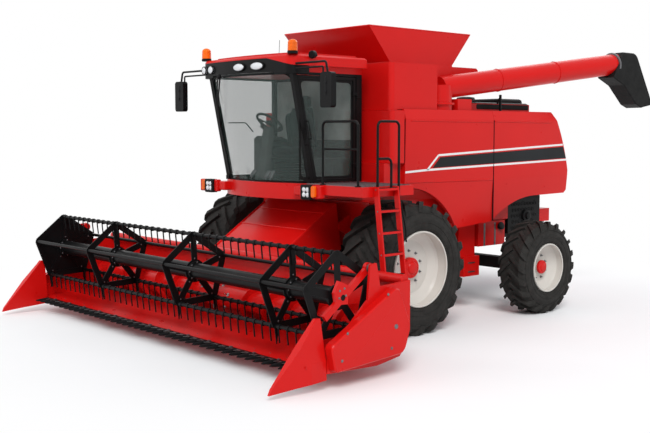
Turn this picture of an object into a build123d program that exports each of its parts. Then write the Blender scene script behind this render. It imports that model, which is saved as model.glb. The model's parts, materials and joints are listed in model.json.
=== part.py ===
from build123d import *
import math
import os

# Combine harvester with a grain header.
# Millimetres, +Z up, the machine drives towards -Y and its left side is +X.
# Everything is laid out from the ground point under the middle of the front axle.
# export_part moves each piece by MIDDLE_Y, so the origin ends under the middle of the whole machine.

RUN = 0.3          # gap between turned faces of different bodies
SEAM = 6.0         # open joint between neighbouring panels

# front wheels
FRONT_R = 925.0
FRONT_RIM_R = 525.0
FRONT_INNER_X = 1300.0
FRONT_OUTER_X = 2070.0
FRONT_DISC_X = 1800.0
FRONT_HUB_R = 120.0
FRONT_STUB_R = 70.0

# rear wheels
REAR_Y = 2750.0
REAR_R = 710.0
REAR_RIM_R = 375.0
REAR_INNER_X = 1670.0
REAR_OUTER_X = 2180.0
REAR_DISC_X = 1960.0
REAR_HUB_R = 95.0
REAR_STUB_R = 48.0
KINGPIN_X = 1490.0
KINGPIN_R = 32.0

# tyre lugs: count round one side, bar width, depth
FRONT_LUGS = 20
FRONT_LUG_W = 62.0
FRONT_LUG_H = 52.0
REAR_LUGS = 20
REAR_LUG_W = 46.0
REAR_LUG_H = 38.0
LUG_LEAN = 42.0
RIM_WALL = 14.0

# chassis
RAIL_IN_X = 500.0
RAIL_OUT_X = 620.0
RAIL_LOW_Z = 1000.0
RAIL_TOP_Z = 1150.0
RAIL_FRONT_Y = -180.0
RAIL_REAR_Y = 3900.0
AXLE_HALF_Y = 120.0
AXLE_LOW_Z = 800.0
DRIVE_R = 230.0
REAR_BEAM_HALF_Y = 85.0
REAR_BEAM_HALF_Z = 90.0
HITCH_HOLE_R = 16.0
HITCH_PLATE = 40.0
HITCH_REACH = 240.0

# separator body, the closed box between the side panels
BODY_FRONT_Y = -180.0
BODY_LOW_HALF = 750.0
BODY_HALF = 1200.0
BODY_SHOULDER_Z = 1400.0
BODY_STEP_Z = 1800.0
BODY_WIDE_Z = 1950.0
BODY_WIDE_HALF = 1360.0
BODY_TOP_Z = 2350.0
BODY_LOW_REAR_Y = 2950.0
BODY_REAR_Y = 3700.0
BODY_TOP_FRONT_Y = -50.0

# side panels
PANEL_T = 80.0
PANEL_TOP_Z = 3120.0
PANEL_FRONT_Y = 290.0
PANEL_SEAM_Y = 2270.0
PANEL_TOP_REAR_Y = 3800.0
PANEL_LOW_Z = 1350.0
PANEL_BEVEL = 140.0
PANEL_CREASE_Z = 2060.0
PANEL_TAPER = 36.0

# grain tank
WALL = 30.0
TANK_FRONT_Y = 250.0
TANK_UPPER_FRONT_Y = 500.0
TANK_REAR_Y = 1870.0
TANK_HALF = BODY_WIDE_HALF - 20.0
TANK_UPPER_HALF = 920.0
TANK_LEDGE_Z = 3100.0
TANK_TOP_Z = 3820.0
SHOULDER_FRONT_Y = 110.0
SHOULDER_REAR_Y = 1070.0
SHOULDER_TOP_Z = 3770.0
SHOULDER_ROUND = 70.0
CORNER_IN_X = 800.0
CORNER_FRONT_Y = 30.0
CORNER_ROUND = 60.0
SHELF_REAR_Y = 2490.0
SHELF_TOP_Z = 3800.0
SHELF_EDGE_Z = 3720.0
SHELF_ROOT_Z = 3520.0
RIM_HALF = 950.0
RIM_FRONT_Y = 50.0
RIM_REAR_Y = 2260.0
RIM_Z = 4310.0

# engine bay
HOOD_TOP_Z = 3240.0
HOOD_STEP_Z = 3100.0
HOOD_HALF = TANK_HALF
HOOD_UPPER_HALF = 1130.0
HOOD_REAR_Y = 3560.0
ENGINE_LENGTH = 1150.0
ENGINE_WIDTH = 820.0
ENGINE_HEIGHT = 640.0

# cab
CAB_HALF = 960.0
CAB_BOTTOM_Z = 1870.0
CAB_FLOOR_Z = 2090.0
CAB_GLASS_TOP_Z = 3560.0
CAB_REAR_Y = -100.0
CAB_CORNER_Y = -1064.0
CAB_BULGE = 210.0
CAB_TOP_LEAN = 306.0
PILLAR = 70.0
GLASS_T = 10.0
CAB_TOP_FRONT_Y = CAB_CORNER_Y - CAB_TOP_LEAN + 30.0
REAR_SILL_Z = 2700.0
DOOR_T = 50.0
DOOR_FRAME = 42.0
HEAD_H = 30.0
DOOR_GAP = 8.0
DOOR_HINGE_Y = -215.0
HINGE_X = CAB_HALF + 14.0
HINGE_Y = DOOR_HINGE_Y + 4.0
HINGE_HEIGHTS = (2330.0, 3330.0)
HINGE_PIN_R = 8.0
ROOF_HALF = CAB_HALF + 90.0
ROOF_FRONT_Y = -1500.0
ROOF_CORNER_Y = ROOF_FRONT_Y + 60.0
ROOF_BULGE = 90.0
ROOF_REAR_Y = CAB_REAR_Y + 10.0
ROOF_ROUND = 170.0
ROOF_SIDE_Z = 3685.0
ROOF_BOTTOM_Z = 3600.0
ROOF_TOP_Z = 3830.0
ROOF_EDGE = 26.0
CROWN_INSET = 150.0
CROWN_H = 32.0
VISOR_LOW_Z = 3572.0
VISOR_TOP_Z = 3790.0
VISOR_END_Z = 3675.0
VISOR_FLAT_X = 560.0
VISOR_REAR_Y = -1160.0
ROOF_LAMPS = (
    # x, half width, half height
    (-950.0, 60.0, 55.0),
    (-745.0, 72.0, 55.0),
    (-10.0, 125.0, 52.0),
    (385.0, 130.0, 52.0),
)
LAMP_Z = 3690.0
LAMP_DEPTH = 60.0
LAMP_PROUD = 10.0

# platform and ladder
BEACON_X = 990.0
BEACON_Y = -1400.0
BEACON_R = 72.0
BEACON_H = 190.0
PLATFORM_OUT_X = 2130.0
PLATFORM_FRONT_Y = -1200.0
PLATFORM_REAR_Y = -260.0
PLATFORM_T = 130.0
RAIL_R = 17.0
RAIL_BEND = 70.0
HANDRAIL_Z = 2930.0
FRONT_RAIL_X = (1330.0, 2010.0)
FRONT_RAIL_INSET = 35.0
FRONT_RAIL_MID_Z = 2570.0
SIDE_RAIL_Y = (-950.0, -560.0)
SIDE_RAIL_FOOT_Z = 1500.0
HAND_RAIL_Y = -700.0
HAND_RAIL_Z = 2450.0
LADDER_FRONT_Y = -1010.0
LADDER_REAR_Y = -620.0
LADDER_LEAN = 190.0
LADDER_BOTTOM_Z = 610.0
LADDER_STEPS = 5
TREAD_DROP = 20.0
TREAD_T = 30.0
TREAD_FIRST = 40.0
STRINGER_W = 80.0
STRINGER_T = 25.0

# mirrors
MIRROR_X = ROOF_HALF + 635.0
MIRROR_ARM_X = ROOF_HALF + 595.0
MIRROR_STAY_X = ROOF_HALF + 540.0
MIRROR_Y = -1390.0
MIRROR_HALF = 110.0
MIRROR_T = 84.0
MIRROR_LOW_Z = 3105.0
MIRROR_TOP_Z = 3560.0
MIRROR_ROUND = 45.0
MIRROR_ARM_Z = 3700.0
MIRROR_STAY_Z = 3635.0
MIRROR_ARM_R = 15.0
MIRROR_BEND = 45.0

# unloading auger
TURRET_X = BODY_WIDE_HALF - 200.0
TURRET_Y = 1320.0
TURRET_R = 190.0
TURRET_TOP_Z = 3245.0
TUBE_R = 170.0
TUBE_Z = 3450.0
TUBE_END_X = TURRET_X + 740.0
TUBE_END_Y = 4900.0
TUBE_END_Z = 3930.0
TUBE_SEAM_SHARES = (0.30, 0.62)
TUBE_SEAM_H = 7.0
TUBE_SEAM_W = 24.0
COVER_IN_X = 1140.0
COVER_FRONT_Y = 1540.0
COVER_REAR_Y = TANK_REAR_Y - 10.0
COVER_TOP_Z = 3290.0
SPOUT_HALF = 180.0
SPOUT_WALL = 12.0
SPOUT_ROUND = 16.0
SPOUT_CORNERS = (
    # along the tube's heading, above its end, round
    (-20.0, 184.0, 0.0),
    (290.0, 174.0, 150.0),
    (705.0, -675.0, 30.0),
    (437.0, -727.0, 20.0),
    (300.0, -670.0, 60.0),
    (1.0, -356.0, 60.0),
    (-241.0, -235.0, 0.0),
)
SPOUT_REACH = SPOUT_CORNERS[2][0]
SPOUT_MOUTH = (
    # along the tube's heading, above its end
    (462.0, -640.0),
    (668.0, -640.0),
    (682.0, -760.0),
    (462.0, -760.0),
)

# feeder house
FEEDER_HALF = 780.0
FEEDER_WALL = 60.0
PIVOT_Y = -350.0
PIVOT_Z = 1450.0
PIVOT_R = 30.0
FEEDER_TOP_REAR = (-420.0, 1780.0)
FEEDER_TOP_FRONT_Z = 1000.0
FEEDER_LOW_FRONT_Z = 350.0
FEEDER_LOW_REAR = (-330.0, 1120.0)

# header
HEADER_HALF = 3330.0
END_SHEET_T = 30.0
SHEET_TOP_Y = -2150.0
SHEET_LOW_Z = 160.0
BACK_TOP_Z = 1095.0
KNIFE_Y = -2900.0
KNIFE_Z = 209.0
FLOOR_T = 24.0
AUGER_Y = -1890.0
AUGER_Z = 531.0
AUGER_R = 150.0
FLIGHT_R = 225.0
FLIGHT_T = 8.0
FLIGHT_PITCH = 460.0
FLIGHT_END_X = 420.0
AUGER_STUB_R = 40.0
TROUGH_R = 256.0
BACK_Y = AUGER_Y + TROUGH_R
BACK_T = FLOOR_T
GUARD_PITCH = 127.0
GUARD_REACH = 130.0
GUARD_END = 86.0
GUARD_HALF = 22.0
DIVIDER_IN_X = HEADER_HALF - 104.0
TIP_X = HEADER_HALF - 62.0
TIP_Y = -3640.0
TIP_Z = 58.0
DIVIDER_TOP_Z = 790.0
DIVIDER_TOP_Y = -3000.0
DIVIDER_REAR_Y = -2800.0
SHIELD_T = 110.0
SHIELD_EDGE = 14.0
SHIELD_CORNERS = (
    # y, z, round
    (-2870.0, 204.0, 60.0),
    (-2935.0, 500.0, 70.0),
    (-1965.0, 1032.0, 60.0),
    (-1895.0, 1030.0, 60.0),
    (-1705.0, 590.0, 150.0),
    (-1800.0, 276.0, 120.0),
)
BEAM_R = 60.0
THROAT_LOW_Z = 430.0
THROAT_TOP_Z = 950.0

# reel
REEL_Y = -2596.0
REEL_Z = 977.0
REEL_R = 485.0
REEL_TURN = 92.7
REEL_HALF = HEADER_HALF - 130.0
BATS_TINED = (True, False, True, True, False)
SPIDERS = (
    # place as a share of the reel's half width, closed plate
    (-1.0, True),
    (-0.494, False),
    (0.128, False),
    (0.759, False),
    (1.0, False),
)
SPIDER_T = 14.0
SPIDER_STRAP = 44.0
SPIDER_EYE_R = 36.0
SPIDER_HUB_R = 150.0
SPIDER_PLATE_T = 5.0
FLANGE_R = 130.0
FLANGE_T = 46.0
REEL_TUBE_R = 104.0
REEL_STUB_R = 35.0
BAT_R = 20.0
BAT_PIN_R = 9.0
TINE_LENGTH = 185.0
TINE_PITCH = 152.0
TINE_R = 7.0
CRANK_LENGTH = 205.0
CRANK_T = 8.0
CRANK_GAP = 6.0
CRANK_HALF = 32.0
CRANK_TIP = 5.0
ARM_IN_X = HEADER_HALF - 90.0
ARM_T = 45.0
ARM_PIVOT = (-2200.0, 1270.0)
ARM_FOOT = (-2860.0, 771.0)
ARM_DEPTH = 75.0

# lift cylinders
CYL_X = 520.0
CYL_BASE = (-200.0, 560.0)
CYL_EYE = (-1100.0, 400.0)
CYL_R = 48.0
CYL_ROD_R = 26.0
CYL_PIN_R = 18.0
EAR_HALF = 120.0
EAR_TIP = 30.0
EAR_SINK = 12.0
EAR_GAP = 8.0
EAR_T = 18.0

# boxes hung between the wheels, left side
FUEL_IN_X = RAIL_OUT_X + 2.0
FUEL_OUT_X = 1180.0
FUEL_FRONT_Y = 2240.0
FUEL_REAR_Y = 2900.0
FUEL_LOW_Z = 990.0
TOOLBOX_IN_X = 700.0
TOOLBOX_FRONT_Y = 1890.0
TOOLBOX_REAR_Y = 2270.0
TOOLBOX_LOW_Z = 540.0
CASING_OUT_X = 1150.0
CASING_FRONT_Y = 1800.0
CASING_REAR_Y = 2190.0
CASING_LOW_Z = 850.0

# straw chopper
CHOPPER_REAR_Y = 3800.0
CHOPPER_SLOPE = 150.0
DEFLECTOR_REAR_Y = 4070.0
DEFLECTOR_LOW_Z = 1300.0
DEFLECTOR_TOP_Z = 1515.0

TUBE_HEADING = math.atan2(TUBE_END_X - TURRET_X, TUBE_END_Y - TURRET_Y)
SPOUT_END_Y = (TUBE_END_Y + SPOUT_REACH * math.cos(TUBE_HEADING)
               + SPOUT_HALF * math.sin(TUBE_HEADING))
MIDDLE_Y = (TIP_Y + SPOUT_END_Y) / 2


# ---- helpers -------------------------------------------------------------

def export_part(name, *shapes):
    """Write one node, moved so that the origin is under the machine's middle."""
    solids = [s for shape in shapes for s in shape.solids()]
    whole = Compound(children=solids) if len(solids) > 1 else solids[0]
    export_step(Pos(0, -MIDDLE_Y, 0) * whole, f"parts/{name}.step")


def block(x0, x1, y0, y1, z0, z1):
    size = Box(x1 - x0, y1 - y0, z1 - z0)
    return Pos((x0 + x1) / 2, (y0 + y1) / 2, (z0 + z1) / 2) * size


def slab_x(points, x0, x1):
    """An outline of (y, z) points, from x0 to x1."""
    outline = make_face(Polyline(*points, close=True))
    return Pos(x0, 0, 0) * extrude(Plane.YZ * outline, x1 - x0)


def slab_y(points, y0, y1):
    """An outline of (x, z) points, from y0 to y1."""
    outline = make_face(Polyline(*points, close=True))
    return Pos(0, y1, 0) * extrude(Plane.XZ * outline, y1 - y0)


def slab_z(points, z0, z1):
    """An outline of (x, y) points, from z0 to z1."""
    outline = make_face(Polyline(*points, close=True))
    return Pos(0, 0, z0) * extrude(outline, z1 - z0)


def rod(start, end, radius):
    """A round bar between two points."""
    a, b = Vector(*start), Vector(*end)
    plane = Plane(origin=a, z_dir=b - a)
    return extrude(plane * Circle(radius), (b - a).length)


def bar_x(x0, x1, y, z, radius):
    return rod((x0, y, z), (x1, y, z), radius)


def mirrored(shape):
    """The same shape on the machine's other side."""
    return mirror(shape, about=Plane.YZ)


def both(shape):
    return [shape, mirrored(shape)]


def pipe_run(points, radius):
    """Round bars through the points, with a ball at each bend."""
    whole = rod(points[0], points[1], radius)
    for start, end in zip(points[1:], points[2:]):
        whole += Pos(*start) * Sphere(radius)
        whole += rod(start, end, radius)
    return whole


def bent_pipe(points, radius, bend):
    """A round pipe through the points with a smooth bend at each corner."""
    path = FilletPolyline(*points, radius=bend)
    return sweep(Plane(origin=path @ 0, z_dir=path % 0) * Circle(radius), path=path)


# ---- wheels --------------------------------------------------------------

def turned(points):
    """Turn a closed outline of (x, r) points round the X axis."""
    outline = make_face(Polyline(*[(x, r) for x, r in points], close=True))
    return revolve(outline, Axis.X)


def tyre(x0, x1, tip_r, rim_r, lugs, lug_w, lug_h):
    """A tyre round the X axis with two rows of leaning bar lugs."""
    width = x1 - x0
    middle = (x0 + x1) / 2
    carcass_r = tip_r - lug_h
    bead_r = rim_r + 30
    side_r = (rim_r + carcass_r) / 2
    carcass = turned([
        (x0 + 45, rim_r), (x0 + 12, bead_r), (x0, side_r), (x0 + 30, carcass_r - 55),
        (x0 + 90, carcass_r), (x1 - 90, carcass_r), (x1 - 30, carcass_r - 55),
        (x1, side_r), (x1 - 12, bead_r), (x1 - 45, rim_r)])
    envelope = turned([
        (x0 + 14, carcass_r - 90), (x0 + 14, tip_r - 60), (x0 + 60, tip_r),
        (x1 - 60, tip_r), (x1 - 14, tip_r - 60), (x1 - 14, carcass_r - 90)])
    reach = width / 2 / math.cos(math.radians(LUG_LEAN)) + lug_w
    bars = []
    for side in (-1, 1):
        for i in range(lugs):
            angle = 360.0 / lugs * (i + (0.5 if side > 0 else 0.0))
            bar = Box(reach - lug_w * 0.8, lug_w, lug_h + 110)
            bar = Pos(side * width / 4, 0, 0) * Rot(0, 0, -side * LUG_LEAN) * bar
            bar = Pos(middle, 0, tip_r - (lug_h + 110) / 2 + 8) * bar
            bars.append(Rot(angle, 0, 0) * bar)
    whole = carcass
    for bar in bars:
        whole = whole + (bar & envelope)
    return whole


def rim(x0, x1, seat_r, disc_x, hub_r, stub_r, face_x):
    """A barrel under the tyre, a dished disc and a hub bored for its stub."""
    low = seat_r - RIM_WALL
    barrel = turned([(x0 + 20, seat_r), (x1 - 20, seat_r), (x1 - 20, low), (x0 + 20, low)])
    disc = turned([
        (disc_x - 16, hub_r - 20), (disc_x, hub_r - 20), (disc_x, low - 130),
        (disc_x + 60, low - 30), (disc_x + 90, low + 1), (disc_x + 70, low + 1),
        (disc_x + 42, low - 26), (disc_x - 16, low - 124)])
    hub = turned([
        (disc_x - 110, stub_r), (face_x - 25, stub_r), (face_x - 25, 0), (face_x, 0),
        (face_x, hub_r - 14), (face_x - 14, hub_r), (disc_x - 110, hub_r)])
    return barrel + disc + hub


def make_wheels():
    front_tyre = tyre(FRONT_INNER_X, FRONT_OUTER_X, FRONT_R, FRONT_RIM_R,
                      FRONT_LUGS, FRONT_LUG_W, FRONT_LUG_H)
    front_rim = rim(FRONT_INNER_X, FRONT_OUTER_X, FRONT_RIM_R, FRONT_DISC_X,
                    FRONT_HUB_R, FRONT_STUB_R + RUN, FRONT_DISC_X + 70)
    rear_tyre = tyre(REAR_INNER_X, REAR_OUTER_X, REAR_R, REAR_RIM_R,
                     REAR_LUGS, REAR_LUG_W, REAR_LUG_H)
    rear_rim = rim(REAR_INNER_X, REAR_OUTER_X, REAR_RIM_R, REAR_DISC_X,
                   REAR_HUB_R, REAR_STUB_R + RUN, REAR_DISC_X + 60)
    places = (
        # name, shape, y, z
        ("front_tyre", front_tyre, 0.0, FRONT_R),
        ("front_rim", front_rim, 0.0, FRONT_R),
        ("rear_tyre", rear_tyre, REAR_Y, REAR_R),
        ("rear_rim", rear_rim, REAR_Y, REAR_R),
    )
    for name, shape, y, z in places:
        placed = Pos(0, y, z) * shape
        export_part(f"{name}_left", placed)
        export_part(f"{name}_right", mirrored(placed))


# ---- chassis -------------------------------------------------------------

def make_chassis_frame():
    rails = both(block(RAIL_IN_X, RAIL_OUT_X, RAIL_FRONT_Y, RAIL_REAR_Y, RAIL_LOW_Z, RAIL_TOP_Z))
    whole = rails[0] + rails[1]
    for y in (RAIL_FRONT_Y + 60, (RAIL_FRONT_Y + RAIL_REAR_Y) / 2, RAIL_REAR_Y - 60):
        whole += block(-RAIL_IN_X, RAIL_IN_X, y - 60, y + 60, RAIL_LOW_Z, RAIL_TOP_Z)
    middle_z = (RAIL_LOW_Z + RAIL_TOP_Z) / 2
    reach = RAIL_REAR_Y + HITCH_REACH
    tongue = block(-90, 90, RAIL_REAR_Y - 10, reach,
                   middle_z - HITCH_PLATE / 2, middle_z + HITCH_PLATE / 2)
    hole = rod((0, reach - 60, RAIL_LOW_Z), (0, reach - 60, RAIL_TOP_Z), HITCH_HOLE_R)
    whole += tongue - hole
    export_part("chassis_frame", whole)


def make_front_axle():
    beam = block(-BODY_HALF, BODY_HALF, -AXLE_HALF_Y, AXLE_HALF_Y, AXLE_LOW_Z, RAIL_LOW_Z)
    whole = beam
    stub_end = FRONT_DISC_X + 70 - 25 - 2
    for side in (-1, 1):
        whole += bar_x(side * 1050, side * (FRONT_DISC_X - 130), 0, FRONT_R, DRIVE_R)
        whole += bar_x(side * 1050, side * stub_end, 0, FRONT_R, FRONT_STUB_R)
        ear = slab_x([(-AXLE_HALF_Y, AXLE_LOW_Z + 60), (CYL_BASE[0], CYL_BASE[1] - 40),
                      (CYL_BASE[0] + 45, CYL_BASE[1] - 40), (AXLE_HALF_Y, AXLE_LOW_Z)], 0, 20)
        ear += bar_x(0, 20, CYL_BASE[0], CYL_BASE[1], 42)
        for x in (CYL_X - CYL_R - 8 - 20, CYL_X + CYL_R + 8):
            whole += Pos(x if side > 0 else -x - 20, 0, 0) * ear
        whole += bar_x(side * CYL_X - CYL_R - 20, side * CYL_X + CYL_R + 20,
                       CYL_BASE[0], CYL_BASE[1], CYL_PIN_R)
    export_part("front_axle", whole)


def make_rear_axle():
    beam_end = KINGPIN_X - 110
    y0, y1 = REAR_Y - REAR_BEAM_HALF_Y, REAR_Y + REAR_BEAM_HALF_Y
    whole = block(-beam_end, beam_end, y0, y1, REAR_R - REAR_BEAM_HALF_Z, REAR_R + REAR_BEAM_HALF_Z)
    whole += block(-160, 160, y0, y1, REAR_R, RAIL_LOW_Z)
    whole += block(-RAIL_OUT_X, RAIL_OUT_X, y0, y1, RAIL_LOW_Z - 70, RAIL_LOW_Z)
    for side in (-1, 1):
        for z0 in (REAR_R - 160, REAR_R + 120):
            x0, x1 = sorted((side * (beam_end - 60), side * (KINGPIN_X + 55)))
            whole += block(x0, x1, REAR_Y - 60, REAR_Y + 60, z0, z0 + 40)
        x0, x1 = sorted((side * (beam_end - 60), side * beam_end))
        whole += block(x0, x1, y0, y1, REAR_R - 160, REAR_R + 160)
        whole += rod((side * KINGPIN_X, REAR_Y, REAR_R - 160),
                     (side * KINGPIN_X, REAR_Y, REAR_R + 160), KINGPIN_R)
    export_part("rear_axle", whole)


def make_knuckles():
    x = KINGPIN_X
    stub_end = REAR_DISC_X + 60 - 25 - 2
    barrel = rod((x, REAR_Y, REAR_R - 115), (x, REAR_Y, REAR_R + 115), 70)
    barrel += bar_x(x + 30, REAR_DISC_X - 130, REAR_Y, REAR_R, 62)
    barrel += bar_x(x + 30, stub_end, REAR_Y, REAR_R, REAR_STUB_R)
    arm = block(x - 30, x + 30, REAR_Y + 40, REAR_Y + 230, REAR_R - 105, REAR_R - 75)
    bore = rod((x, REAR_Y, REAR_R - 200), (x, REAR_Y, REAR_R + 200), KINGPIN_R + RUN)
    knuckle = barrel + arm - bore
    export_part("steering_knuckle_left", knuckle)
    export_part("steering_knuckle_right", mirrored(knuckle))


# ---- body ----------------------------------------------------------------

def make_separator_body():
    low = slab_y([(-BODY_LOW_HALF, RAIL_TOP_Z), (BODY_LOW_HALF, RAIL_TOP_Z),
                  (BODY_HALF, BODY_SHOULDER_Z), (BODY_HALF, BODY_STEP_Z),
                  (-BODY_HALF, BODY_STEP_Z), (-BODY_HALF, BODY_SHOULDER_Z)],
                 BODY_FRONT_Y, BODY_LOW_REAR_Y)
    top = slab_y([(-BODY_HALF, BODY_STEP_Z), (BODY_HALF, BODY_STEP_Z),
                  (BODY_WIDE_HALF, BODY_WIDE_Z), (BODY_WIDE_HALF, BODY_TOP_Z),
                  (-BODY_WIDE_HALF, BODY_TOP_Z), (-BODY_WIDE_HALF, BODY_WIDE_Z)],
                 BODY_TOP_FRONT_Y, BODY_REAR_Y)
    whole = low + top
    ear = slab_x([(BODY_FRONT_Y, PIVOT_Z - 160), (BODY_FRONT_Y, PIVOT_Z + 160),
                  (PIVOT_Y - 20, PIVOT_Z + 60), (PIVOT_Y - 60, PIVOT_Z),
                  (PIVOT_Y - 20, PIVOT_Z - 60)], FEEDER_HALF + 6, FEEDER_HALF + 46)
    ear -= bar_x(FEEDER_HALF, FEEDER_HALF + 60, PIVOT_Y, PIVOT_Z, PIVOT_R + RUN)
    for one in both(ear):
        whole += one
    export_part("separator_body", whole)


def panel_outline_front():
    """The front side panel, with the wheel arch as one arc."""
    z = PANEL_LOW_Z
    edges = [
        Line((PANEL_FRONT_Y, PANEL_CREASE_Z - 60), (PANEL_FRONT_Y + 20, PANEL_TOP_Z)),
        Line((PANEL_FRONT_Y + 20, PANEL_TOP_Z), (PANEL_SEAM_Y, PANEL_TOP_Z)),
        Line((PANEL_SEAM_Y, PANEL_TOP_Z), (PANEL_SEAM_Y, z + 60)),
        Line((PANEL_SEAM_Y, z + 60), (1440.0, z)),
        ThreePointArc((1440.0, z), (1030.0, 1790.0), (PANEL_FRONT_Y, PANEL_CREASE_Z - 60)),
    ]
    return make_face(Curve() + edges)


def panel_outline_rear():
    """The rear side panel, arched over the rear wheel and swept at the back."""
    y0 = PANEL_SEAM_Y + SEAM
    edges = [
        Line((y0, PANEL_LOW_Z + 60), (y0, PANEL_TOP_Z)),
        Line((y0, PANEL_TOP_Z), (PANEL_TOP_REAR_Y, PANEL_TOP_Z)),
        Line((PANEL_TOP_REAR_Y, PANEL_TOP_Z), (3900.0, 3000.0)),
        ThreePointArc((3900.0, 3000.0), (4110.0, 2560.0), (4230.0, 2160.0)),
        Line((4230.0, 2160.0), (4210.0, 1830.0)),
        Line((4210.0, 1830.0), (4150.0, 1780.0)),
        Line((4150.0, 1780.0), (3400.0, 1770.0)),
        ThreePointArc((3400.0, 1770.0), (2780.0, 1675.0), (y0, PANEL_LOW_Z + 60)),
    ]
    return make_face(Curve() + edges)


def make_side_panels():
    x0 = BODY_WIDE_HALF
    x1 = x0 + PANEL_T
    panels = []
    for outline in (panel_outline_front(), panel_outline_rear()):
        panel = Pos(x0, 0, 0) * extrude(Plane.YZ * outline, PANEL_T)
        bevel = slab_y([(x1 + 1, PANEL_TOP_Z - PANEL_BEVEL), (x1 + 1, PANEL_TOP_Z + 1),
                        (x1 - 45, PANEL_TOP_Z + 1), (x1 - 0.5, PANEL_TOP_Z - PANEL_BEVEL)],
                       -500, 5000)
        tuck = slab_y([(x1 + 1, PANEL_CREASE_Z), (x1 - 0.5, PANEL_CREASE_Z),
                       (x1 - PANEL_TAPER, PANEL_LOW_Z - 20), (x1 + 1, PANEL_LOW_Z - 20)],
                      -500, 5000)
        panels.append(panel - bevel - tuck)
    corner = block(CORNER_IN_X, x1 - 2, CORNER_FRONT_Y, PANEL_FRONT_Y - SEAM, BODY_TOP_Z + 2, TANK_LEDGE_Z - 4)
    corner -= block(0, TANK_HALF + 2, TANK_FRONT_Y - 2, PANEL_FRONT_Y, BODY_TOP_Z, TANK_LEDGE_Z)
    front_edge = corner.edges().filter_by(Axis.Z).sort_by(Axis.X)[-2:].sort_by(Axis.Y)[0]
    panels.append(fillet(front_edge, CORNER_ROUND))
    export_part("side_panels_left", *panels)
    export_part("side_panels_right", *[mirrored(p) for p in panels])


def shoulder():
    """The wide front part of the tank above the ledge, both sides."""
    whole = block(-TANK_HALF, TANK_HALF, SHOULDER_FRONT_Y, SHOULDER_REAR_Y,
                  TANK_LEDGE_Z, SHOULDER_TOP_Z)
    uprights = whole.edges().filter_by(Axis.Z)
    return fillet(uprights.sort_by(Axis.Y)[:2], SHOULDER_ROUND)


def make_grain_tank():
    outer = block(-TANK_HALF, TANK_HALF, TANK_FRONT_Y, TANK_REAR_Y, BODY_TOP_Z, TANK_LEDGE_Z)
    outer += block(-TANK_UPPER_HALF, TANK_UPPER_HALF, TANK_UPPER_FRONT_Y, TANK_REAR_Y,
                   TANK_LEDGE_Z, TANK_TOP_Z)
    outer += shoulder()
    inner = block(-TANK_HALF + WALL, TANK_HALF - WALL, TANK_FRONT_Y + WALL, TANK_REAR_Y - WALL,
                  BODY_TOP_Z + WALL, TANK_LEDGE_Z - WALL)
    inner += block(-TANK_UPPER_HALF + WALL, TANK_UPPER_HALF - WALL, TANK_UPPER_FRONT_Y + WALL,
                   TANK_REAR_Y - WALL, TANK_LEDGE_Z - WALL, TANK_TOP_Z + WALL)
    shelf = slab_x([(TANK_REAR_Y, SHELF_TOP_Z), (SHELF_REAR_Y - 40, SHELF_TOP_Z),
                    (SHELF_REAR_Y, SHELF_TOP_Z - 30), (SHELF_REAR_Y, SHELF_EDGE_Z),
                    (TANK_REAR_Y, SHELF_ROOT_Z)], -TANK_UPPER_HALF, TANK_UPPER_HALF)
    export_part("grain_tank", outer - inner + shelf)


def rectangle_at(half, y0, y1, z):
    middle = Plane(origin=(0, (y0 + y1) / 2, z))
    return middle * Rectangle(2 * half, y1 - y0)


def make_tank_extension():
    z0, z1 = TANK_TOP_Z, RIM_Z
    outer = loft([rectangle_at(TANK_UPPER_HALF, TANK_UPPER_FRONT_Y, TANK_REAR_Y, z0),
                  rectangle_at(RIM_HALF, RIM_FRONT_Y, RIM_REAR_Y, z1)], ruled=True)
    inner = loft([rectangle_at(TANK_UPPER_HALF - WALL, TANK_UPPER_FRONT_Y + WALL,
                               TANK_REAR_Y - WALL, z0),
                  rectangle_at(RIM_HALF - WALL, RIM_FRONT_Y + WALL, RIM_REAR_Y - WALL, z1)],
                 ruled=True)
    export_part("grain_tank_extension", outer - inner)


def make_engine():
    y0 = TANK_REAR_Y + 220
    export_part("engine_block", block(-ENGINE_WIDTH / 2, ENGINE_WIDTH / 2, y0, y0 + ENGINE_LENGTH,
                                      BODY_TOP_Z, BODY_TOP_Z + ENGINE_HEIGHT))
    y0 = TANK_REAR_Y + SEAM
    outer = block(-HOOD_HALF, HOOD_HALF, y0, BODY_REAR_Y, BODY_TOP_Z, HOOD_STEP_Z)
    outer += block(-HOOD_UPPER_HALF, HOOD_UPPER_HALF, y0, HOOD_REAR_Y, HOOD_STEP_Z, HOOD_TOP_Z)
    inner = block(-HOOD_HALF + WALL, HOOD_HALF - WALL, y0 + WALL, BODY_REAR_Y - WALL,
                  BODY_TOP_Z - 1, HOOD_STEP_Z - WALL)
    rear = slab_x([(BODY_REAR_Y, BODY_STEP_Z), (4090.0, BODY_STEP_Z), (4150.0, 2180.0),
                   (4000.0, 2600.0), (3830.0, 2980.0), (3770.0, HOOD_STEP_Z),
                   (BODY_REAR_Y, HOOD_STEP_Z)], -HOOD_HALF, HOOD_HALF)
    export_part("engine_hood", (outer - inner) + rear)


def make_straw_chopper():
    y0, y1 = BODY_LOW_REAR_Y + SEAM, CHOPPER_REAR_Y
    box = slab_x([(y0, RAIL_TOP_Z), (y1 - CHOPPER_SLOPE, RAIL_TOP_Z), (y1, RAIL_TOP_Z + CHOPPER_SLOPE),
                  (y1, BODY_STEP_Z - 60), (BODY_REAR_Y - 10, BODY_STEP_Z), (y0, BODY_STEP_Z)],
                 -BODY_HALF, BODY_HALF)
    export_part("straw_chopper", box)
    export_part("straw_deflector", block(-BODY_HALF, BODY_HALF, y1, DEFLECTOR_REAR_Y,
                                         DEFLECTOR_LOW_Z, DEFLECTOR_TOP_Z))


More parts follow.
